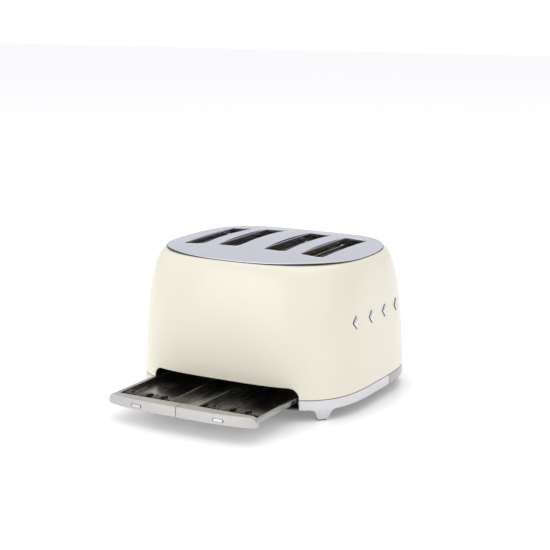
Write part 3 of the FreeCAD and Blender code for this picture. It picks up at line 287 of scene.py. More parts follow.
def loft(rows, close_rows=True, cap_start=False, cap_end=False):
    """Mesh through rows of points, each with the same count."""
    mesh = bpy.data.meshes.new("piece")
    bm = bmesh.new()
    grid = [[bm.verts.new(point) for point in row] for row in rows]
    count = len(rows[0])
    for low, high in zip(grid, grid[1:]):
        for i in range(count if close_rows else count - 1):
            j = (i + 1) % count
            bm.faces.new((low[i], low[j], high[j], high[i]))
    if cap_start:
        bm.faces.new(list(reversed(grid[0])))
    if cap_end:
        bm.faces.new(grid[-1])
    bmesh.ops.remove_doubles(bm, verts=bm.verts, dist=WELD)
    bmesh.ops.dissolve_degenerate(bm, edges=bm.edges, dist=WELD)
    bmesh.ops.recalc_face_normals(bm, faces=bm.faces)
    bm.to_mesh(mesh)
    bm.free()
    return mesh


def place(name, mesh, material, body, slot, *nodes):
    """Object for a finished mesh, which rides on a body and stands for its frame nodes."""
    mesh.name = name
    mesh.shade_smooth()
    mesh.materials.clear()
    mesh.materials.append(bpy.data.materials[material])
    piece = bpy.data.objects.new(name, mesh)
    bpy.context.scene.collection.objects.link(piece)
    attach(piece, body)
    if nodes:
        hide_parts(*nodes)
    return piece


def joined(meshes):
    """One mesh from several."""
    bm = bmesh.new()
    for mesh in meshes:
        bm.from_mesh(mesh)
    result = bpy.data.meshes.new("piece")
    bm.to_mesh(result)
    bm.free()
    return result


def thicken(piece, thickness, offset=-1.0):
    """Give a sheet its thickness."""
    modifier = piece.modifiers.new("Sheet", "SOLIDIFY")
    modifier.thickness = thickness
    modifier.offset = offset
    modifier.use_even_offset = True


def soften(piece, width, segments=2, angle=35.0):
    """Round the sharp edges, and keep the faces between them even."""
    modifier = piece.modifiers.new("Edges", "BEVEL")
    modifier.width = width
    modifier.segments = segments
    modifier.limit_method = "ANGLE"
    modifier.angle_limit = math.radians(angle)
    modifier.use_clamp_overlap = True
    modifier.harden_normals = False
    modifier = piece.modifiers.new("Faces", "WEIGHTED_NORMAL")
    modifier.keep_sharp = True


def settle(piece):
    """Apply a piece's modifiers to its mesh."""
    graph = bpy.context.evaluated_depsgraph_get()
    mesh = bpy.data.meshes.new_from_object(piece.evaluated_get(graph))
    piece.modifiers.clear()
    piece.data = mesh


def cut(piece, meshes):
    """Cut solid meshes out of a piece."""
    cutter = bpy.data.objects.new("cutter", joined(meshes))
    bpy.context.scene.collection.objects.link(cutter)
    modifier = piece.modifiers.new("Cut", "BOOLEAN")
    modifier.operation = "DIFFERENCE"
    modifier.solver = "EXACT"
    modifier.object = cutter
    settle(piece)
    bpy.data.objects.remove(cutter)


def prism(loop, low, high, place_point):
    """Solid between two copies of a 2-D loop; place_point puts (u, v, w) into space."""
    rows = [[place_point(u, v, w) for u, v in loop] for w in (low, high)]
    return loft(rows, cap_start=True, cap_end=True)


def turned(profile, centre, steps=64, ripple=None, bored=False):
    """Round mesh about a line along Y, from (radius, y) pairs; a bored one has no end caps."""
    rows = []
    for radius, y in profile:
        row = []
        for i in range(steps):
            angle = 2 * math.pi * i / steps
            r = radius if ripple is None else ripple(radius, y, angle)
            row.append(Vector((
                centre[0] + r * math.cos(angle), y, centre[1] + r * math.sin(angle)
            )))
        rows.append(row)
    if bored:
        return loft(rows + rows[:1])
    return loft(rows, cap_start=True, cap_end=True)


# Materials

def linear(code):
    """Linear colour of an sRGB hex value."""
    channels = []
    for i in (0, 2, 4):
        value = int(code[i:i + 2], 16) / 255
        channels.append(value / 12.92 if value <= 0.04045 else ((value + 0.055) / 1.055) ** 2.4)
    return (*channels, 1.0)


def add_node(tree, kind, settings=(), links=()):
    """Node with its properties and sockets set, and its inputs linked."""
    node = tree.nodes.new(kind)
    for key, value in dict(settings).items():
        if isinstance(key, str) and hasattr(node, key):
            setattr(node, key, value)
        else:
            node.inputs[key].default_value = value
    for key, source in dict(links).items():
        tree.links.new(source, node.inputs[key])
    return node


def start_material(name, **shader):
    """Material with its shader; returns its tree, the shader and the object's own coordinates."""
    material = bpy.data.materials.new(name)
    material.use_nodes = True
    tree = material.node_tree
    tree.nodes.clear()
    surface = add_node(tree, "ShaderNodeBsdfPrincipled", shader)
    add_node(tree, "ShaderNodeOutputMaterial", links={"Surface": surface.outputs["BSDF"]})
    where = add_node(tree, "ShaderNodeTexCoord").outputs["Object"]
    return tree, surface, where


def noise(tree, where, spacing, detail=2.0, roughness=0.5):
    """Noise whose grain has a real size: spacing along X, Y and Z in metres."""
    scaled = add_node(
        tree, "ShaderNodeMapping", {"Scale": [1 / step for step in spacing]}, {"Vector": where}
    )
    return add_node(
        tree, "ShaderNodeTexNoise", {"Scale": 1.0, "Detail": detail, "Roughness": roughness},
        {"Vector": scaled.outputs["Vector"]},
    ).outputs["Fac"]


def between(tree, factor, low, high, start=0.3, end=0.7):
    """Value that goes from low to high as a factor goes from start to end."""
    return add_node(
        tree, "ShaderNodeMapRange",
        {"From Min": start, "From Max": end, "To Min": low, "To Max": high}, {"Value": factor},
    ).outputs["Result"]


def blend_colour(tree, factor, low, high, start=0.3, end=0.7):
    """Colour that goes between two hex values as a factor goes from start to end."""
    ramp = add_node(tree, "ShaderNodeValToRGB", links={"Fac": factor})
    ramp.color_ramp.elements[0].position = start
    ramp.color_ramp.elements[0].color = linear(low)
    ramp.color_ramp.elements[1].position = end
    ramp.color_ramp.elements[1].color = linear(high)
    return ramp.outputs["Color"]


def bump(tree, surface, height, depth, strength=1.0):
    """Raise the surface by a height pattern, depth in metres."""
    relief = add_node(
        tree, "ShaderNodeBump", {"Strength": strength, "Distance": depth}, {"Height": height}
    )
    tree.links.new(relief.outputs["Normal"], surface.inputs["Normal"])


def tinted(code, share):
    """Hex value made lighter (share above 1) or darker."""
    values = [min(255, round(int(code[i:i + 2], 16) * share)) for i in (0, 2, 4)]
    return "".join(f"{value:02X}" for value in values)


def enamel_material(colours):
    """Enamel, sprayed and fired: deep gloss with a faint orange peel."""
    tree, surface, where = start_material(
        "Fired_gloss_enamel", Roughness=0.28, IOR=1.5,
        **{"Coat Weight": 0.35, "Coat Roughness": 0.1},
    )
    drift = noise(tree, where, (90 * MM,) * 3, 0.0)
    tree.links.new(
        blend_colour(
            tree, drift, colours.enamel, tinted(colours.enamel, 0.99), 0.0, 1.0),
        surface.inputs["Base Color"],
    )
    peel = noise(tree, where, (2.2 * MM,) * 3, 1.0)
    tree.links.new(between(tree, peel, 0.27, 0.3, 0.0, 1.0), surface.inputs["Roughness"])
    bump(tree, surface, peel, 0.006 * MM, 0.2)


def brushed_material(name, code, spacing, rough, contrast, depth):
    """Stainless steel, brushed: fine straight streaks that blur what it mirrors.

    Real grit lines are 0.05 mm apart; they are drawn coarser so that they show.
    """
    tree, surface, where = start_material(name, Metallic=1.0, Anisotropic=0.45)
    streaks = noise(tree, where, spacing, 3.0, 0.6)
    cloud = noise(tree, where, (35 * MM,) * 3)
    tree.links.new(
        blend_colour(tree, streaks, tinted(code, contrast), code), surface.inputs["Base Color"]
    )
    mixed = add_node(
        tree, "ShaderNodeMath", {"operation": "MULTIPLY"}, {0: streaks, 1: cloud}
    ).outputs["Value"]
    tree.links.new(between(tree, mixed, rough - 0.05, rough + 0.06, 0.1, 0.4),
                   surface.inputs["Roughness"])
    bump(tree, surface, streaks, depth, 0.35)


def chrome_material(name, code, rough, spread=0.03):
    """Chrome plate over a polished or satin casting: bright, with faint handling haze."""
    tree, surface, where = start_material(name, Metallic=1.0)
    haze = noise(tree, where, (18 * MM,) * 3, 4.0)
    tree.links.new(
        blend_colour(tree, haze, tinted(code, 0.97), code), surface.inputs["Base Color"]
    )
    tree.links.new(between(tree, haze, rough, rough + spread), surface.inputs["Roughness"])
    ripple = noise(tree, where, (9 * MM,) * 3, 1.0)
    bump(tree, surface, ripple, 0.01 * MM, 0.2)


def moulded_material(name, code, rough, grain, depth, ior=1.5):
    """Plastic or rubber, moulded in a grained tool: an even sheen broken by a small grain."""
    tree, surface, where = start_material(name, IOR=ior)
    texture = noise(tree, where, (grain,) * 3, 2.0)
    cloud = noise(tree, where, (14 * MM,) * 3)
    tree.links.new(
        blend_colour(tree, cloud, tinted(code, 0.85), tinted(code, 1.15)),
        surface.inputs["Base Color"],
    )
    tree.links.new(between(tree, texture, rough - 0.06, rough + 0.06), surface.inputs["Roughness"])
    bump(tree, surface, texture, depth, 0.5)


def galvanised_material():
    """Steel sheet, hot dipped in zinc: flat grey crystals a few millimetres wide."""
    tree, surface, where = start_material("Zinc_dipped_sheet_steel", Metallic=1.0)
    scaled = add_node(
        tree, "ShaderNodeMapping", {"Scale": [1 / (6 * MM)] * 3}, {"Vector": where}
    )
    crystal = add_node(
        tree, "ShaderNodeTexVoronoi", {"Scale": 1.0}, {"Vector": scaled.outputs["Vector"]}
    )
    shade = add_node(tree, "ShaderNodeSeparateColor", links={"Color": crystal.outputs["Color"]})
    tree.links.new(
        blend_colour(tree, shade.outputs["Red"], "8E9093", "A5A7AA", 0.0, 1.0),
        surface.inputs["Base Color"],
    )
    tree.links.new(between(tree, shade.outputs["Green"], 0.38, 0.52, 0.0, 1.0),
                   surface.inputs["Roughness"])


def wire_material():
    """Spring steel wire, drawn and heat blued: dark straw and grey patches along each wire."""
    tree, surface, where = start_material("Drawn_steel_wire", Metallic=1.0)
    heat = noise(tree, where, (12 * MM, 25 * MM, 25 * MM), 3.0)
    tree.links.new(
        blend_colour(tree, heat, "8A8078", "B9B3AC"), surface.inputs["Base Color"]
    )
    tree.links.new(between(tree, heat, 0.28, 0.42), surface.inputs["Roughness"])


def mica_material():
    """Mica, pressed and bonded in sheet: tan, with silvery flakes."""
    tree, surface, where = start_material("Pressed_mica_sheet", IOR=1.58)
    flakes = noise(tree, where, (2.5 * MM,) * 3, 5.0, 0.7)
    tree.links.new(
        blend_colour(tree, flakes, "7C6A50", "B29E7C", 0.4, 0.62), surface.inputs["Base Color"]
    )
    tree.links.new(between(tree, flakes, 0.62, 0.34), surface.inputs["Roughness"])


def ribbon_material():
    """Nichrome ribbon, rolled and fired once: dull brown grey oxide."""
    tree, surface, where = start_material("Rolled_nichrome_ribbon", Metallic=0.9)
    oxide = noise(tree, where, (5 * MM,) * 3, 3.0)
    tree.links.new(
        blend_colour(tree, oxide, "4A433E", "70665E"), surface.inputs["Base Color"]
    )
    tree.links.new(between(tree, oxide, 0.55, 0.4), surface.inputs["Roughness"])


def circuit_material():
    """Glass epoxy board under solder mask: green gloss with paler tracks."""
    tree, surface, where = start_material("Masked_epoxy_board", IOR=1.5, Roughness=0.3)
    scaled = add_node(
        tree, "ShaderNodeMapping", {"Scale": [1 / (3 * MM)] * 3}, {"Vector": where}
    )
    tracks = add_node(
        tree, "ShaderNodeTexBrick",
        {"Scale": 1.0, "Color1": linear("1E5B3C"), "Color2": linear("236644"),
         "Mortar": linear("2F7A52"), "Mortar Size": 0.08},
        {"Vector": scaled.outputs["Vector"]},
    )
    tree.links.new(tracks.outputs["Color"], surface.inputs["Base Color"])


def ring_material():
    """Polycarbonate light guide, moulded: milky white that light sinks into."""
    tree, surface, where = start_material(
        "Milky_polycarbonate", IOR=1.58, Roughness=0.25,
        **{"Subsurface Weight": 0.3, "Subsurface Scale": 2 * MM},
    )
    cloud = noise(tree, where, (8 * MM,) * 3)
    tree.links.new(
        blend_colour(tree, cloud, "EDEDE8", "F7F7F4"), surface.inputs["Base Color"]
    )


def make_materials(colours):
    """Every finish on the toaster."""
    enamel_material(colours)

    # Plate brushed across the slots: cool and even, its streaks nearly too faint to see.
    across_the_slots = (60 * MM, 0.5 * MM, 60 * MM)
    brushed_material(
        "Brushed_stainless_top", colours.top_steel, across_the_slots, 0.3, 0.975, 0.004 * MM)
    # Pans brushed from front to back: clear streaks and a soft image of the dark opening.
    front_to_back = (0.8 * MM, 40 * MM, 0.8 * MM)
    brushed_material(
        "Brushed_stainless_tray", colours.tray_steel, front_to_back, 0.24, 0.93, 0.004 * MM)
    # Tray fronts brushed along their length: long thin lines that catch the light.
    along_the_front = (70 * MM, 0.5 * MM, 0.5 * MM)
    brushed_material(
        "Brushed_stainless_front", "C2BFBD", along_the_front, 0.26, 0.975, 0.003 * MM)

    # Satin plate on a blasted casting: bright, with wide soft highlights.
    chrome_material("Satin_chrome_casting", colours.band_chrome, 0.24, 0.08)
    # Bright plate on a buffed casting: its colour is painted darker, a painted reflection that stands for the
    # darker look of what it mirrors.
    chrome_material("Mirror_chrome_painted_darker", tinted(colours.band_chrome, 0.8), 0.08)
    # Bright plate on polished knobs: sharp black and white reflections.
    chrome_material("Polished_chrome", "E6E6E8", 0.06)
    # Satin plate on turned buttons: an even pale grey.
    chrome_material("Satin_chrome_buttons", "D6D6D9", 0.24)

    # Glass filled nylon: near black, with a dull grained sheen.
    moulded_material("Moulded_black_nylon", colours.mouldings, 0.42, 0.6 * MM, 0.02 * MM)
    # Soft rubber: near black and almost without a highlight.
    moulded_material("Moulded_black_rubber", "262524", 0.75, 0.4 * MM, 0.03 * MM, 1.52)
    galvanised_material()
    wire_material()
    mica_material()
    ribbon_material()
    circuit_material()
    ring_material()


SLOT_FINISH = {
    "cream_enamel": "Fired_gloss_enamel",
    "brushed_top": "Brushed_stainless_top",
    "chrome": "Satin_chrome_casting",
    "black_plastic": "Moulded_black_nylon",
    "rubber": "Moulded_black_rubber",
    "tray_steel": "Brushed_stainless_tray",
    "galvanised": "Zinc_dipped_sheet_steel",
    "spring_wire": "Drawn_steel_wire",
    "mica": "Pressed_mica_sheet",
    "ribbon": "Rolled_nichrome_ribbon",
    "circuit_board": "Masked_epoxy_board",
    "lit_ring": "Milky_polycarbonate",
    "button_chrome": "Satin_chrome_buttons",
}


# Operators

class TOASTER_OT_materials(bpy.types.Operator):
    """Make the finishes, and give each frame node the one of its own material slot."""

    bl_idname = "toaster.materials"
    bl_label = "Finishes"

    def execute(self, context):
        make_materials(context.scene.toaster_colours)
        for part in frame["record"]["subparts"]:
            mesh = NODES[part["node"]].data
            mesh.materials.clear()
            mesh.materials.append(bpy.data.materials[SLOT_FINISH[part["material_slot"]]])
        return {"FINISHED"}


class TOASTER_OT_body_shell(bpy.types.Operator):
    """Enamelled shell: leaning walls, rolled shoulder and the arch over the crumb trays."""

    bl_idname = "toaster.body_shell"
    bl_label = "Body shell"

    def execute(self, context):
        sizes = context.scene.toaster_sizes
        round_steps = 288
        margin = 1.0 * MM
        columns = []
        for i in range(round_steps):
            angle = 2 * math.pi * i / round_steps
            x, y = superellipse(BODY_HALF_X, BODY_HALF_Y, sizes.body_power, angle)
            if y > 0 or abs(x) > sizes.arch_half + margin:
                columns.append((angle, BODY_BOTTOM))
            elif abs(x) < sizes.arch_half - sizes.arch_corner - margin:
                columns.append((angle, BODY_BOTTOM + sizes.arch_rise))
        corner_steps = 14
        jamb_step = 0.03 * MM
        for side in (-1, 1):
            for k in range(corner_steps + 1):
                turn = math.pi / 2 * k / corner_steps
                x = sizes.arch_half - sizes.arch_corner * (1 - math.sin(turn))
                z = BODY_BOTTOM + sizes.arch_rise - sizes.arch_corner * (1 - math.cos(turn))
                y = -end_y(sizes, x, BODY_BOTTOM)
                columns.append((math.atan2(y, side * x) % (2 * math.pi), z))
            x = sizes.arch_half + jamb_step
            y = -end_y(sizes, x, BODY_BOTTOM)
            columns.append((math.atan2(y, side * x) % (2 * math.pi), BODY_BOTTOM))
        columns.sort()
        # Rolled lower edge: height above the edge and depth behind the face, in millimetres.
        hem = ((0.0, 1.0), (0.15, 0.45), (0.5, 0.12))
        rows = []
        for rise, tuck in hem:
            rows.append([
                body_point(sizes, angle, low + rise * MM, -tuck * MM) for angle, low in columns
            ])
        # The rows crowd together towards the shoulder, where the wall curves most.
        wall_rows = 34
        crowding = 2.2
        for i in range(1, wall_rows + 1):
            rise = 1 - (1 - i / wall_rows) ** crowding
            rows.append([
                body_point(sizes, angle, low + (BODY_TOP - low) * rise) for angle, low in columns
            ])
        for flange_share in (0.35, 1.0):
            rows.append([
                body_point(sizes, angle, BODY_TOP, -sizes.shell_flange * flange_share)
                for angle, _ in columns
            ])
        piece = place(
            "body_shell_enamelled", loft(rows), "Fired_gloss_enamel", "housing", "cream_enamel",
            "body_shell",
        )
        thicken(piece, sizes.shell_wall)
        low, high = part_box("control_bezels")
        window_half = 17 * MM
        bezel_lap = 4 * MM
        window_corner = 8 * MM
        past = 5 * MM
        windows = []
        for side in (-1, 1):
            x = side * (sizes.slot_inner + sizes.slot_pitch / 2)
            loop = rounded_loop(window_half, (high.z - low.z) / 2 - bezel_lap, window_corner)
            windows.append(prism(
                loop, BODY_Y + BODY_HALF_Y / 2, BODY_Y + BODY_HALF_Y + past,
                lambda u, v, w: Vector((x + u, w, (low.z + high.z) / 2 + v)),
            ))
        cut(piece, windows)
        soften(piece, 0.45 * MM, 3, 50)
        return {"FINISHED"}


class TOASTER_OT_top_plate(bpy.types.Operator):
    """Domed brushed plate with its rim, and a rolled lip round each bread slot."""

    bl_idname = "toaster.top_plate"
    bl_label = "Top plate"

    def execute(self, context):
        sizes = context.scene.toaster_sizes
        round_steps = 240
        slots = []
        for side in (-1, 1):
            for step in (0, 1):
                slots.append(side * (sizes.slot_inner + step * sizes.slot_pitch))

        def ring(shrink, lift, share=1.0):
            """Outline of the dome, smaller by an inset and a share, and raised over it."""
            points = []
            for i in range(round_steps):
                angle = 2 * math.pi * i / round_steps
                x, y = superellipse(
                    RIM_HALF_X - shrink, RIM_HALF_Y - shrink, sizes.top_power, angle)
                x *= share
                y *= share
                points.append(Vector((x, BODY_Y + y, dome_z(sizes, x, BODY_Y + y) + lift)))
            return points

        # Beaded rim: inset from the outline and height over the dome, in millimetres.
        bead = ((1.2, -1.2), (1.0, -0.8), (0.15, -0.8), (0.0, -0.65), (0.0, 0.0), (0.12, 0.3),
                (0.4, 0.42), (0.9, 0.4), (1.6, 0.15), (2.6, 0.0))
        rows = [ring(inset * MM, lift * MM) for inset, lift in bead]
        dome_inset = bead[-1][0] * MM
        under_inset = bead[0][0] * MM
        under_step = 0.2 * MM
        dome_rows = 20
        dome_reach = 0.995
        shares = [1 - dome_reach * i / dome_rows for i in range(1, dome_rows + 1)]
        rows += [ring(dome_inset, 0.0, share) for share in shares]
        under = [ring(under_inset, -sizes.plate_wall - under_step)]
        under += [ring(under_inset, -sizes.plate_wall, share) for share in shares]
        plate = joined([loft(rows, cap_end=True), loft(under, cap_end=True)])
        bm = bmesh.new()
        bm.from_mesh(plate)
        bmesh.ops.remove_doubles(bm, verts=bm.verts, dist=WELD)
        bmesh.ops.recalc_face_normals(bm, faces=bm.faces)
        bm.to_mesh(plate)
        bm.free()
        piece = place(
            "top_plate_domed", plate, "Brushed_stainless_top", "housing", "brushed_top",
            "top_plate",
        )
        lip_overlap = 0.3 * MM
        past = 10 * MM
        cutters = []
        for x in slots:
            loop = rounded_loop(
                sizes.slot_width / 2 + lip_overlap, sizes.slot_length / 2 + lip_overlap,
                sizes.slot_corner + lip_overlap, 8)
            cutters.append(prism(
                loop, PLATE_LOW.z - past, PLATE_HIGH.z + past,
                lambda u, v, w: Vector((x + u, BODY_Y + sizes.slot_shift + v, w)),
            ))
        cut(piece, cutters)
        modifier = piece.modifiers.new("Faces", "WEIGHTED_NORMAL")
        modifier.keep_sharp = True

        # Thin black ring between plate and shell, a painted shadow that stands for the shadow gap under the rim,
        # in the same measures as the bead.
        shadow_ring_rows = []
        for inset, lift in ((0.3, -1.6), (-0.5, -1.6), (-0.5, -0.75), (0.3, -0.75)):
            shadow_ring_rows.append(ring(inset * MM, lift * MM))
        place(
            "top_plate_painted_shadow_ring", loft(shadow_ring_rows + shadow_ring_rows[:1]), "Moulded_black_rubber", "housing", "rubber",
            "top_plate",
        )

        # Rolled lip: share of the lip's width and height over the dome in millimetres.
        lip = (
            (1.0, 0.0), (0.8, 0.28), (0.5, 0.42), (0.2, 0.34), (0.05, 0.1), (0.0, -0.4),
            (0.0, -1.5), (0.0, -5.2), (0.25, -5.2), (0.25, -1.5), (0.9, -0.5),
        )
        lips = []
        for x in slots:
            rows = []
            for share, lift in lip:
                grow = share * sizes.lip_width
                loop = rounded_loop(
                    sizes.slot_width / 2 + grow, sizes.slot_length / 2 + grow,
                    sizes.slot_corner + grow, 8)
                row = []
                for u, v in loop:
                    y = BODY_Y + sizes.slot_shift + v
                    row.append(Vector((x + u, y, dome_z(sizes, x + u, y) + lift * MM)))
                rows.append(row)
            rows.append(rows[0])
            lips.append(loft(rows))
        place(
            "slot_lips_rolled", joined(lips), "Brushed_stainless_top", "housing", "brushed_top",
            "top_plate",
        )
        return {"FINISHED"}


class TOASTER_OT_guide_clips(bpy.types.Operator):
    """Bright spring clip on the top rail of one bread guide in each slot."""

    bl_idname = "toaster.guide_clips"
    bl_label = "Guide clips"

    def execute(self, context):
        sizes = context.scene.toaster_sizes
        half_length = 3.5 * MM
        drop = 1.4 * MM
        share_of_slot = 0.35
        loop = rounded_loop(1.5 * MM, 2.6 * MM, 1.2 * MM, 4)
        for number in (1, 3, 5, 7):
            low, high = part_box("guide_cage_" + str(number))
            x = (low.x + high.x) / 2
            y = BODY_Y + sizes.slot_shift + sizes.slot_length * share_of_slot
            piece = place(
                "guide_clip_" + str(number),
                prism(loop, y - half_length, y + half_length,
                      lambda u, v, w: Vector((x + u, w, high.z - drop + v))),
                "Polished_chrome", "guide_" + str(number), "spring_wire",
            )
            soften(piece, 0.5 * MM, 2, 30)
        return {"FINISHED"}


class TOASTER_OT_base_band(bpy.types.Operator):
    """Cast band in three sections, with the feet that grow out of it."""

    bl_idname = "toaster.base_band"
    bl_label = "Base band and feet"

    def foot_low(self, sizes, distance, top, tip_z):
        """Height of the lower edge at a distance from a foot's middle."""
        half = sizes.foot_top / 2
        tip = sizes.foot_tip / 2
        if distance >= half + sizes.foot_flare:
            return top
        knee_z = top - sizes.foot_flare
        knee = tip + (half - tip) * (knee_z - tip_z) / (top - tip_z)
        if distance <= tip:
            return tip_z
        if distance <= knee:
            return tip_z + (knee_z - tip_z) * (distance - tip) / (knee - tip)
        # Halving finds the place on the flare's curve that lies at this distance.
        reach = half + sizes.foot_flare
        halvings = 24
        low, high = 0.0, 1.0
        for _ in range(halvings):
            t = (low + high) / 2
            x = (1 - t) ** 2 * knee + 2 * t * (1 - t) * half + t ** 2 * reach
            low, high = (t, high) if x < distance else (low, t)
        return (1 - t) ** 2 * knee_z + (1 - (1 - t) ** 2) * top

    def execute(self, context):
        sizes = context.scene.toaster_sizes
        ring_steps = 3600
        ring = []
        length = 0.0
        for i in range(ring_steps + 1):
            angle = 2 * math.pi * i / ring_steps
            x, y = superellipse(BODY_HALF_X, BODY_HALF_Y, sizes.body_power, angle)
            if ring:
                length += math.dist((x, y), ring[-1][1:])
            ring.append((length, x, y))
        # The section's small edges, and the foot's inward curve.
        edge_inset = 0.35 * MM
        edge_drop = 0.6 * MM
        foot_start = 0.5 * MM
        foot_inset = 0.15 * MM
        inner_step = 0.05 * MM
        thinnest = 0.02 * MM
        lean_power = 1.3
        leg_steps = 5
        feet = []
        for base, sign in ((0, 1), (math.pi, -1), (math.pi, 1), (2 * math.pi, -1)):
            angle = base + sign * sizes.foot_angle
            feet.append(ring[round(angle / (2 * math.pi) * ring_steps)][0])

        def to_foot(at):
            """Distance along the outline to the nearest foot's middle."""
            return min(min(abs(at - foot), length - abs(at - foot)) for foot in feet)

        def row(place_on_ring):
            """Section of the band, or of the band and a foot, at a place of the outline."""
            at, x, y = place_on_ring
            low = self.foot_low(sizes, to_foot(at), BAND_BOTTOM, FOOT_TIP)
            slope = Vector((
                math.copysign(abs(x / BODY_HALF_X) ** (sizes.body_power - 1) / BODY_HALF_X, x),
                math.copysign(abs(y / BODY_HALF_Y) ** (sizes.body_power - 1) / BODY_HALF_Y, y),
            )).normalized()
            is_foot = low < BAND_BOTTOM - thinnest
            depth = sizes.foot_depth if is_foot else sizes.band_wall
            section = [(edge_inset, BAND_TOP), (0.0, BAND_TOP - edge_drop)]
            for share in (0.25, 0.5, 0.75):
                section.append((0.0, BAND_TOP + (BAND_BOTTOM - BAND_TOP) * share))
            section.append((0.0, BAND_BOTTOM + foot_start))
            for k in range(leg_steps + 1):
                z = BAND_BOTTOM + (low - BAND_BOTTOM) * k / leg_steps
                drop = (BAND_BOTTOM - z) / (BAND_BOTTOM - FOOT_TIP)
                section.append((sizes.foot_lean * drop ** lean_power + foot_inset, z))
            lean = section[-1][0]
            section.append((lean + depth - sizes.foot_lean * (1 if is_foot else 0), low))
            section.append((max(depth, sizes.band_wall), BAND_BOTTOM))
            section.append((sizes.band_wall, BAND_BOTTOM + inner_step))
            section.append((sizes.band_wall, BAND_TOP))
            return [
                Vector((x - slope.x * inset, BODY_Y + y - slope.y * inset, z))
                for inset, z in section
            ]

        # Rows stand close together at a foot and far apart along the plain band.
        foot_reach = sizes.foot_top / 2 + sizes.foot_flare + 3 * MM
        close_step = 2
        far_step = 14

        def stations(start, end):
            """Sections between two directions from the middle."""
            rows = []
            index = round(start / (2 * math.pi) * ring_steps)
            stop = round(end / (2 * math.pi) * ring_steps)
            while index <= stop:
                entry = ring[index % ring_steps]
                rows.append(row(entry))
                index += close_step if to_foot(entry[0]) < foot_reach else far_step
            rows.append(row(ring[stop % ring_steps]))
            return rows

        seam = math.atan2(
            sizes.band_seam, side_x(sizes, BODY_Y + sizes.band_seam, BODY_BOTTOM))
        arch = math.atan2(
            end_y(sizes, sizes.arch_half, BODY_BOTTOM), sizes.arch_half)
        seam_gap = 0.006
        sections = {
            "left": (math.pi - seam, math.pi + arch),
            "right": (2 * math.pi - arch, 2 * math.pi + seam),
            "control": (seam + seam_gap, math.pi - seam - seam_gap),
        }
        # A return closes the band's end behind the arch.
        return_wall = 1.6 * MM
        return_start = 0.8 * MM
        return_end = 22.4 * MM
        return_drop = 0.2 * MM
        for name, (start, end) in sections.items():
            meshes = [loft(stations(start, end), cap_start=True, cap_end=True)]
            if name != "control":
                side = -1 if name == "left" else 1
                inner = side * sizes.arch_half
                outer = side * (sizes.arch_half + return_wall)
                y0 = BODY_Y - end_y(sizes, sizes.arch_half, BODY_BOTTOM) + return_start
                y1 = BODY_Y - BODY_HALF_Y + return_end
                loop = [(inner, y0), (outer, y0), (outer, y1), (inner, y1)]
                meshes.append(prism(
                    loop, BAND_BOTTOM, BAND_TOP - return_drop,
                    lambda u, v, w: Vector((u, v, w))))
            # The control section gets the chrome whose colour is painted darker, as a painted reflection.
            finish = "Mirror_chrome_painted_darker" if name == "control" else "Satin_chrome_casting"
            piece = place(
                "base_band_cast_" + name, joined(meshes), finish, "housing", "chrome",
                "base_band_" + name,
            )
            soften(piece, 0.55 * MM, 3, 38)
        return {"FINISHED"}


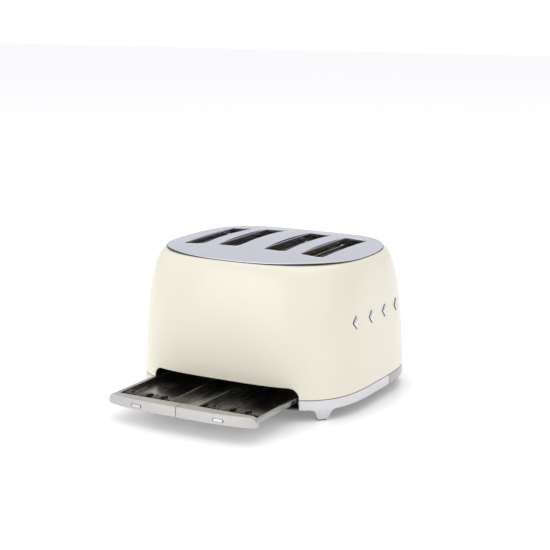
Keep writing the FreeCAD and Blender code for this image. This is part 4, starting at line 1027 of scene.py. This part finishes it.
class TOASTER_OT_crumb_trays(bpy.types.Operator):
    """Two crumb trays: curved front with its tab, folded pan, deck strip and moulded combs."""

    bl_idname = "toaster.crumb_trays"
    bl_label = "Crumb trays"

    def front(self, sizes, name, side):
        """Curved bar with a rounded outer corner and a finger tab."""
        low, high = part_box("tray_front_" + name)
        inner = 0.4 * MM
        face_lean = 0.25 * MM
        outer = max(abs(low.x), abs(high.x))
        back = PAN_FRONT
        flat = outer - sizes.front_corner - inner
        flat_steps = 26
        corner_steps = 12
        places = [inner + flat * i / flat_steps for i in range(flat_steps)]
        for k in range(corner_steps + 1):
            turn = math.pi / 2 * k / corner_steps
            places.append(outer - sizes.front_corner * (1 - math.sin(turn)))
        rows = []
        for x in places:
            over = max(0.0, x - (outer - sizes.front_corner))
            drop = sizes.front_corner - math.sqrt(max(0.0, sizes.front_corner ** 2 - over ** 2))
            y = BODY_Y - end_y(sizes, x, BODY_BOTTOM) - sizes.tray_drawn
            top = high.z - drop
            middle = (y + back) / 2
            rows.append([
                Vector((side * x, y, low.z)), Vector((side * x, y, (low.z + top) / 2)),
                Vector((side * x, y + face_lean, top)), Vector((side * x, middle, top)),
                Vector((side * x, back, top)), Vector((side * x, back, low.z)),
                Vector((side * x, middle, low.z)),
            ])
        piece = place(
            "tray_front_bar_" + name, loft(rows, cap_start=True, cap_end=True),
            "Brushed_stainless_front", "tray_" + name, "chrome", "tray_front_" + name,
        )
        soften(piece, 1.1 * MM, 3, 40)

        x = side * sizes.tab_place
        tab_rise = 5.2 * MM
        z = low.z + tab_rise
        half_width = 7.0
        half_height = 1.95
        corner = 1.9
        # Growth along and across the tab, and height over the front, in millimetres.
        shapes = {
            "tray_tab_seat_": ("Moulded_black_nylon", (
                (1.0, 0.3, -0.6), (1.0, 0.3, 0.1), (0.8, 0.2, 0.2), (0.2, 0.0, 0.2))),
            "tray_tab_": ("Satin_chrome_buttons", (
                (0.0, 0.0, 0.1), (-0.1, 0.0, 0.45), (-0.5, -0.4, 0.62), (-1.4, -1.3, 0.66))),
        }
        for label, (finish, steps) in shapes.items():
            rows = []
            for wide, tall, proud in steps:
                loop = rounded_loop(
                    (half_width + wide) * MM, (half_height + tall) * MM,
                    (corner + min(wide, tall)) * MM, 5)
                rows.append([
                    Vector((x + u, BODY_Y - end_y(sizes, x + u, BODY_BOTTOM) - sizes.tray_drawn
                            - proud * MM, z + v))
                    for u, v in loop
                ])
            place(
                label + name, loft(rows, cap_start=True, cap_end=True), finish,
                "tray_" + name, "chrome", "tray_front_" + name,
            )

    def sheet(self, sizes, name, label, outline, y0, y1, radius):
        """Folded strip that runs along Y."""
        bent = filleted(outline, radius) if len(outline) > 2 else [Vector(p) for p in outline]
        steps = 8
        rows = []
        for i in range(steps + 1):
            y = y0 + (y1 - y0) * i / steps
            rows.append([Vector((u, y, v)) for u, v in bent])
        piece = place(
            label + name, loft(rows, close_rows=False), "Brushed_stainless_tray",
            "tray_" + name, "tray_steel", "tray_pan_" + name,
        )
        thicken(piece, sizes.pan_wall, 0.0)
        soften(piece, 0.22 * MM, 2, 50)

    def execute(self, context):
        sizes = context.scene.toaster_sizes
        half_wall = sizes.pan_wall / 2
        deck_half = 21.0 * MM
        deck_rise = 2.8 * MM
        deck_gap = 0.5 * MM
        deck_clearance = 0.3 * MM
        flange_width = 4.6 * MM
        side_height = 9.5 * MM
        fold = 1.0 * MM
        for name, side in SIDES:
            self.front(sizes, name, side)
            low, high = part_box("tray_pan_" + name)
            inner = side * deck_half
            flange = max(abs(low.x), abs(high.x))
            outer = side * (flange - flange_width - half_wall)
            floor = low.z + half_wall
            side_top = low.z + side_height - half_wall
            outline = [
                (inner, high.z), (inner, floor), (outer, floor), (outer, side_top),
                (side * (flange - half_wall), side_top),
            ]
            self.sheet(sizes, name, "tray_pan_folded_", outline, low.y, high.y, fold)
            deck = low.z + deck_rise + half_wall
            outline = [(side * deck_gap, deck), (inner - side * deck_clearance, deck)]
            self.sheet(sizes, name, "tray_deck_", outline, low.y, high.y, fold)
            loop = [(inner, floor), (outer, floor), (outer, side_top), (inner, side_top)]
            piece = place(
                "tray_back_wall_" + name,
                prism(loop, high.y - sizes.pan_wall, high.y, lambda u, v, w: Vector((u, w, v))),
                "Brushed_stainless_tray", "tray_" + name, "tray_steel", "tray_pan_" + name,
            )
            soften(piece, 0.2 * MM)
            source = NODES["tray_combs_" + name].data.copy()
            bm = bmesh.new()
            bm.from_mesh(source)
            bmesh.ops.remove_doubles(bm, verts=bm.verts, dist=WELD)
            bmesh.ops.dissolve_limit(
                bm, angle_limit=0.02, verts=bm.verts, edges=bm.edges)
            bm.to_mesh(source)
            bm.free()
            piece = place(
                "tray_combs_moulded_" + name, source, "Moulded_black_nylon", "tray_" + name,
                "black_plastic", "tray_combs_" + name,
            )
            soften(piece, 0.5 * MM, 2, 30)
        return {"FINISHED"}


class TOASTER_OT_levers(bpy.types.Operator):
    """Chrome lever knobs on the carriages' arms."""

    bl_idname = "toaster.levers"
    bl_label = "Levers"

    def execute(self, context):
        # A pillow: the section is nearly square and shrinks late towards both ends.
        section_power = 2.9
        width_power = 0.32
        length_power = 0.5
        narrowest = 1e-3
        length_steps = 24
        round_steps = 64
        for name, _ in SIDES:
            low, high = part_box("lever_knob_" + name)
            centre = (low + high) / 2
            half = (high - low) / 2
            rows = []
            for i in range(length_steps + 1):
                turn = math.pi * i / length_steps
                share = max(narrowest, math.sin(turn)) ** width_power
                along = math.copysign(abs(math.cos(turn)) ** length_power, math.cos(turn))
                row = []
                for k in range(round_steps):
                    angle = 2 * math.pi * k / round_steps
                    x, z = superellipse(half.x * share, half.z * share, section_power, angle)
                    row.append(Vector((centre.x + x, centre.y - half.y * along, centre.z + z)))
                rows.append(row)
            place(
                "lever_knob_polished_" + name, loft(rows, cap_start=True, cap_end=True),
                "Polished_chrome", "carriage_" + name, "chrome", "lever_knob_" + name,
            )
        return {"FINISHED"}


class TOASTER_OT_controls(bpy.types.Operator):
    """Fluted browning knobs, stop buttons, function buttons and their bezels."""

    bl_idname = "toaster.controls"
    bl_label = "Controls"

    def knob(self, name):
        """Fluted knob with a well for the stop button, and its pointer line."""
        low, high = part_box("browning_knob_" + name)
        centre = ((low.x + high.x) / 2, (low.z + high.z) / 2)
        radius = (high.x - low.x) / 2
        front = high.y
        base = front - 17 * MM
        flute_count = 24
        flute_depth = 0.35 * MM

        def flutes(r, y, angle):
            """Radius with the grip's flutes taken off."""
            fluted = base + 3.5 * MM < y < front - 1.2 * MM and r > 13 * MM
            return r - (flute_depth * (1 + math.cos(flute_count * angle)) if fluted else 0.0)

        # Shaft, foot collar, fluted grip, rounded front edge, dished face and well, in turn.
        shaft = 4.0 * MM
        bore = 2.3 * MM
        well = 6.3 * MM
        well_floor = front - 7.6 * MM
        collar = ((0.6, 0.0), (0.0, 0.6), (0.0, 2.6), (0.4, 3.0), (0.5, 3.6), (0.5, 8.0))
        edge = ((0.6, 2.4), (1.0, 1.3), (1.7, 0.4), (2.8, 0.0), (3.6, 0.05))
        dish = ((7.6, 0.5), (7.0, 0.6), (6.5, 1.0))
        profile = [(shaft, low.y), (shaft, base)]
        profile += [(radius - inset * MM, base + ahead * MM) for inset, ahead in collar]
        profile += [(radius - inset * MM, front - behind * MM) for inset, behind in edge]
        profile += [(out * MM, front - behind * MM) for out, behind in dish]
        profile += [(well, front - 1.6 * MM), (well, well_floor), (bore, well_floor), (bore, low.y)]
        place(
            "browning_knob_fluted_" + name, turned(profile, centre, 240, flutes, True),
            "Polished_chrome", "knob_" + name, "chrome", "browning_knob_" + name,
        )
        loop = rounded_loop(0.55 * MM, 2.2 * MM, 0.5 * MM, 4)
        pointer_place = 10.6 * MM
        place(
            "browning_pointer_" + name,
            prism(loop, front - 0.9 * MM, front + 0.06 * MM,
                  lambda u, v, w: Vector((centre[0] + u, w, centre[1] + pointer_place + v))),
            "Moulded_black_nylon", "knob_" + name, "chrome", "browning_knob_" + name,
        )
        self.button("stop_button_turned_" + name, "stop_button_" + name, "stop_" + name, 64, (
            (1.8, 4.0), (5.6, 4.0), (6.0, 3.6), (6.0, 1.0), (5.8, 0.5), (5.3, 0.2), (4.0, 0.05),
            (1.5, 0.0),
        ))

    def button(self, label, node, body, steps, head):
        """Round button on its stem; head holds radius and depth behind the face, in mm."""
        low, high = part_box(node)
        centre = ((low.x + high.x) / 2, (low.z + high.z) / 2)
        profile = [(head[0][0] * MM, low.y)]
        profile += [(radius * MM, high.y - depth * MM) for radius, depth in head]
        place(
            label, turned(profile, centre, steps), "Satin_chrome_buttons", body,
            "button_chrome", node,
        )

    def bezels(self, sizes):
        """Chrome plates that follow the body, with their holes."""
        low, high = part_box("control_bezels")
        half_z = (high.z - low.z) / 2
        middle = (high.z + low.z) / 2
        half_x = 21 * MM
        corner = 12 * MM
        least_corner = 1.2 * MM
        seat = 0.06 * MM
        # Rolled edge, then a flat face: inset and height over the shell, in millimetres.
        edge = ((0.0, 0.06), (0.0, 0.7), (0.15, 1.0), (0.45, 1.18), (0.9, 1.25), (2.0, 1.25))
        flat_width = 17.5
        flat_steps = 9
        flat_start, face = edge[-1]
        flat = [(flat_start + flat_width * k / flat_steps, face) for k in range(1, flat_steps + 1)]
        # The holes' half widths, and the room past the lever's travel.
        lever_half = 3.7 * MM
        lever_room = 6 * MM
        shaft_half = 5 * MM
        button_half = 4.3 * MM
        for name, side in SIDES:
            x0 = side * (sizes.slot_inner + sizes.slot_pitch / 2)
            rows = []
            for inset, proud in (*edge, *flat):
                radius = max(least_corner, corner - inset * MM)
                loop = rounded_loop(half_x - inset * MM, half_z - inset * MM, radius, 8)
                loop = self.even(loop)
                rows.append([
                    Vector((x0 + u, BODY_Y + end_y(sizes, x0 + u, middle + v, proud * MM),
                            middle + v)) for u, v in loop
                ])
            back = []
            for row in rows:
                back.append([
                    Vector((p.x, BODY_Y + end_y(sizes, p.x, p.z, seat), p.z)) for p in row
                ])
            mesh = loft(list(reversed(back)) + rows[1:], cap_start=True, cap_end=True)
            piece = place(
                "control_bezel_" + name, mesh, "Satin_chrome_casting", "housing", "chrome",
                "control_bezels",
            )
            _, ring_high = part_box("knob_rings")
            knob_low, knob_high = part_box("browning_knob_" + name)
            knob_z = (knob_low.z + knob_high.z) / 2
            lever_low, lever_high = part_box("lever_knob_" + name)
            arm = (lever_low.z + lever_high.z) / 2
            travel = -min(j["range_m"][0] for j in frame["joints"] if j["name"] == "lever_" + name)
            y0 = BODY_Y + BODY_HALF_Y / 2
            y1 = ring_high.y + 20 * MM
            slot_half = travel / 2 + lever_room
            holes = [
                (rounded_loop(lever_half, slot_half, 2.5 * MM), x0, arm - travel / 2),
                (rounded_loop(shaft_half, shaft_half, shaft_half - 0.01 * MM, 12), x0, knob_z),
            ]
            for number in (1, 2, 3):
                b_low, b_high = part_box("button_" + name + "_" + str(number))
                holes.append((
                    rounded_loop(button_half, button_half, button_half - 0.01 * MM, 10),
                    (b_low.x + b_high.x) / 2, (b_low.z + b_high.z) / 2))
            cut(piece, [
                prism(loop, y0, y1, lambda u, v, w: Vector((hx + u, w, hz + v)))
                for loop, hx, hz in holes
            ])
            soften(piece, 0.25 * MM, 2, 55)

    def even(self, loop):
        """The same loop with its long sides divided, so that it can follow a curved face."""
        longest = 10 * MM
        spacing = 4 * MM
        result = []
        for start, end in zip(loop, loop[1:] + loop[:1]):
            length = math.dist(start, end)
            parts = max(1, round(length / spacing)) if length > longest else 1
            for k in range(parts):
                t = k / parts
                result.append(tuple(a + (b - a) * t for a, b in zip(start, end)))
        return result

    def execute(self, context):
        sizes = context.scene.toaster_sizes
        self.bezels(sizes)
        for name, _ in SIDES:
            self.knob(name)
            for number in (1, 2, 3):
                node = "button_" + name + "_" + str(number)
                body = "function_" + name + "_" + str(number)
                self.button("function_" + node, node, body, 48, (
                    (1.6, 9.0), (3.8, 9.0), (4.0, 8.8), (4.0, 0.9), (3.85, 0.5), (3.4, 0.2),
                    (2.0, 0.0),
                ))
        return {"FINISHED"}


class TOASTER_OT_ornaments(bpy.types.Operator):
    """Row of plain raised lozenges on the badge side."""

    bl_idname = "toaster.ornaments"
    bl_label = "Ornaments"

    def execute(self, context):
        sizes = context.scene.toaster_sizes
        low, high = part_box("badge_ornaments")
        width = 14 * MM
        height = high.z - low.z
        first = low.y + width / 2
        pitch = (high.y - low.y - width) / max(1, sizes.ornament_count - 1)
        middle = (high.z + low.z) / 2
        # Share of the lozenge's size, and height over the shell in millimetres.
        shapes = {
            "badge_seats": ("Moulded_black_nylon", (
                (1.12, 0.06), (1.12, 0.5), (1.06, 0.7), (0.9, 0.7))),
            "badge_lozenges": ("Polished_chrome", (
                (0.98, 0.66), (0.98, 1.5), (0.9, 1.8), (0.62, 2.3), (0.5, 2.3), (0.38, 1.7))),
        }
        for name, (finish, steps) in shapes.items():
            meshes = []
            for i in range(sizes.ornament_count):
                rows = []
                for share, proud in steps:
                    row = []
                    for dy, dz in ((1, 0), (0, 1), (-1, 0), (0, -1)):
                        y = first + pitch * i + dy * share * width / 2
                        z = middle + dz * share * height / 2
                        row.append(Vector((side_x(sizes, y, z, proud * MM), y, z)))
                    rows.append(row)
                meshes.append(loft(rows, cap_start=True, cap_end=True))
            piece = place(
                name, joined(meshes), finish, "housing", "chrome", "badge_ornaments")
            soften(piece, 0.25 * MM, 2, 20)
        return {"FINISHED"}


class TOASTER_OT_stage(bpy.types.Operator):
    """Plain pale floor, soft lights and the camera."""

    bl_idname = "toaster.stage"
    bl_label = "Stage"

    floor_half_width = 8.0
    floor_front = -6.0
    floor_back = 8.0
    floor_glow = 0.2
    sky = "F8F8FA"
    sky_on_the_toaster = 0.83
    sky_behind_the_toaster = 1.1
    aim_height = 0.1
    # Name, place in metres, side in metres and power in watts.
    lamps = (
        ("key", (-1.0, -3.1, 0.8), 2.2, 21),
        ("fill", (3.0, -1.6, 1.2), 2.0, 3),
        ("top", (0.1, 0.2, 3.4), 3.6, 36),
    )
    camera_place = (0.92069, -1.59534, 0.55506)
    camera_heading = math.radians(29.984)
    camera_dip = math.radians(12.234)
    camera_roll = -0.00561
    camera_lens = 89.57

    def light(self, name, lamp_place, size, power):
        """Square soft white light that faces the toaster."""
        data = bpy.data.lights.new(name, "AREA")
        data.size = size
        data.energy = power
        lamp = bpy.data.objects.new(name, data)
        lamp.location = lamp_place
        aim = Vector((0, BODY_Y, self.aim_height)) - Vector(lamp_place)
        lamp.rotation_euler = aim.to_track_quat("-Z", "Y").to_euler()
        bpy.context.scene.collection.objects.link(lamp)

    def execute(self, context):
        scene = context.scene
        half = self.floor_half_width
        rows = []
        for y in (self.floor_front, self.floor_back):
            rows.append([Vector((x, y, 0.0)) for x in (-half, half)])
        mesh = loft(rows, close_rows=False)
        # Matt white paper: it glows a little, as paper lit from all sides does.
        tree, surface, where = start_material(
            "Matt_white_floor", Roughness=0.35, IOR=1.35,
            **{"Emission Color": linear("FFFFFF"), "Emission Strength": self.floor_glow},
        )
        fine = noise(tree, where, (3 * MM,) * 3)
        tree.links.new(
            blend_colour(tree, fine, "F9F9FA", "FBFBFC"), surface.inputs["Base Color"])
        mesh.materials.append(bpy.data.materials["Matt_white_floor"])
        floor = bpy.data.objects.new("floor", mesh)
        scene.collection.objects.link(floor)

        world = bpy.data.worlds.new("Studio")
        world.use_nodes = True
        tree = world.node_tree
        glow = tree.nodes["Background"]
        glow.inputs["Color"].default_value = linear(self.sky)
        seen = add_node(tree, "ShaderNodeLightPath").outputs["Is Camera Ray"]
        strength = between(
            tree, seen, self.sky_on_the_toaster, self.sky_behind_the_toaster, 0.0, 1.0)
        tree.links.new(strength, glow.inputs["Strength"])
        scene.world = world
        scene.view_settings.view_transform = "Standard"
        for lamp in self.lamps:
            self.light(*lamp)

        data = bpy.data.cameras.new("camera")
        data.sensor_width = 36.0
        data.lens = self.camera_lens
        data.clip_start = 0.05
        camera = bpy.data.objects.new("camera", data)
        turn = (
            Matrix.Rotation(self.camera_heading, 4, "Z")
            @ Matrix.Rotation(math.pi / 2 - self.camera_dip, 4, "X")
            @ Matrix.Rotation(self.camera_roll, 4, "Z")
        )
        x, y, z = self.camera_place
        camera.matrix_world = Matrix.Translation((x, BODY_Y + y, z)) @ turn
        scene.collection.objects.link(camera)
        scene.camera = camera
        return {"FINISHED"}


STEPS = (
    TOASTER_OT_materials,
    TOASTER_OT_body_shell,
    TOASTER_OT_top_plate,
    TOASTER_OT_guide_clips,
    TOASTER_OT_base_band,
    TOASTER_OT_crumb_trays,
    TOASTER_OT_levers,
    TOASTER_OT_controls,
    TOASTER_OT_ornaments,
    TOASTER_OT_stage,
)


class TOASTER_PT_panel(bpy.types.Panel):
    """The toaster's sizes, colours and building steps."""

    bl_idname = "TOASTER_PT_panel"
    bl_label = "Toaster"
    bl_space_type = "VIEW_3D"
    bl_region_type = "UI"
    bl_category = "Toaster"

    def draw(self, context):
        layout = self.layout
        for group in (context.scene.toaster_sizes, context.scene.toaster_colours):
            box = layout.box()
            for key in group.__annotations__:
                box.prop(group, key)
        for step in STEPS:
            layout.operator(step.bl_idname)


CLASSES = (ToasterSizes, ToasterColours, *STEPS, TOASTER_PT_panel)


def register():
    """Register the classes and hang the settings on the scene."""
    for item in CLASSES:
        bpy.utils.register_class(item)
    bpy.types.Scene.toaster_sizes = bpy.props.PointerProperty(type=ToasterSizes)
    bpy.types.Scene.toaster_colours = bpy.props.PointerProperty(type=ToasterColours)


def unregister():
    """Undo register."""
    del bpy.types.Scene.toaster_colours
    del bpy.types.Scene.toaster_sizes
    for item in reversed(CLASSES):
        bpy.utils.unregister_class(item)


def main():
    """Build every piece and the stage."""
    register()
    for step in STEPS:
        group, action = step.bl_idname.split(".")
        getattr(getattr(bpy.ops, group), action)()


if __name__ == "__main__":
    main()
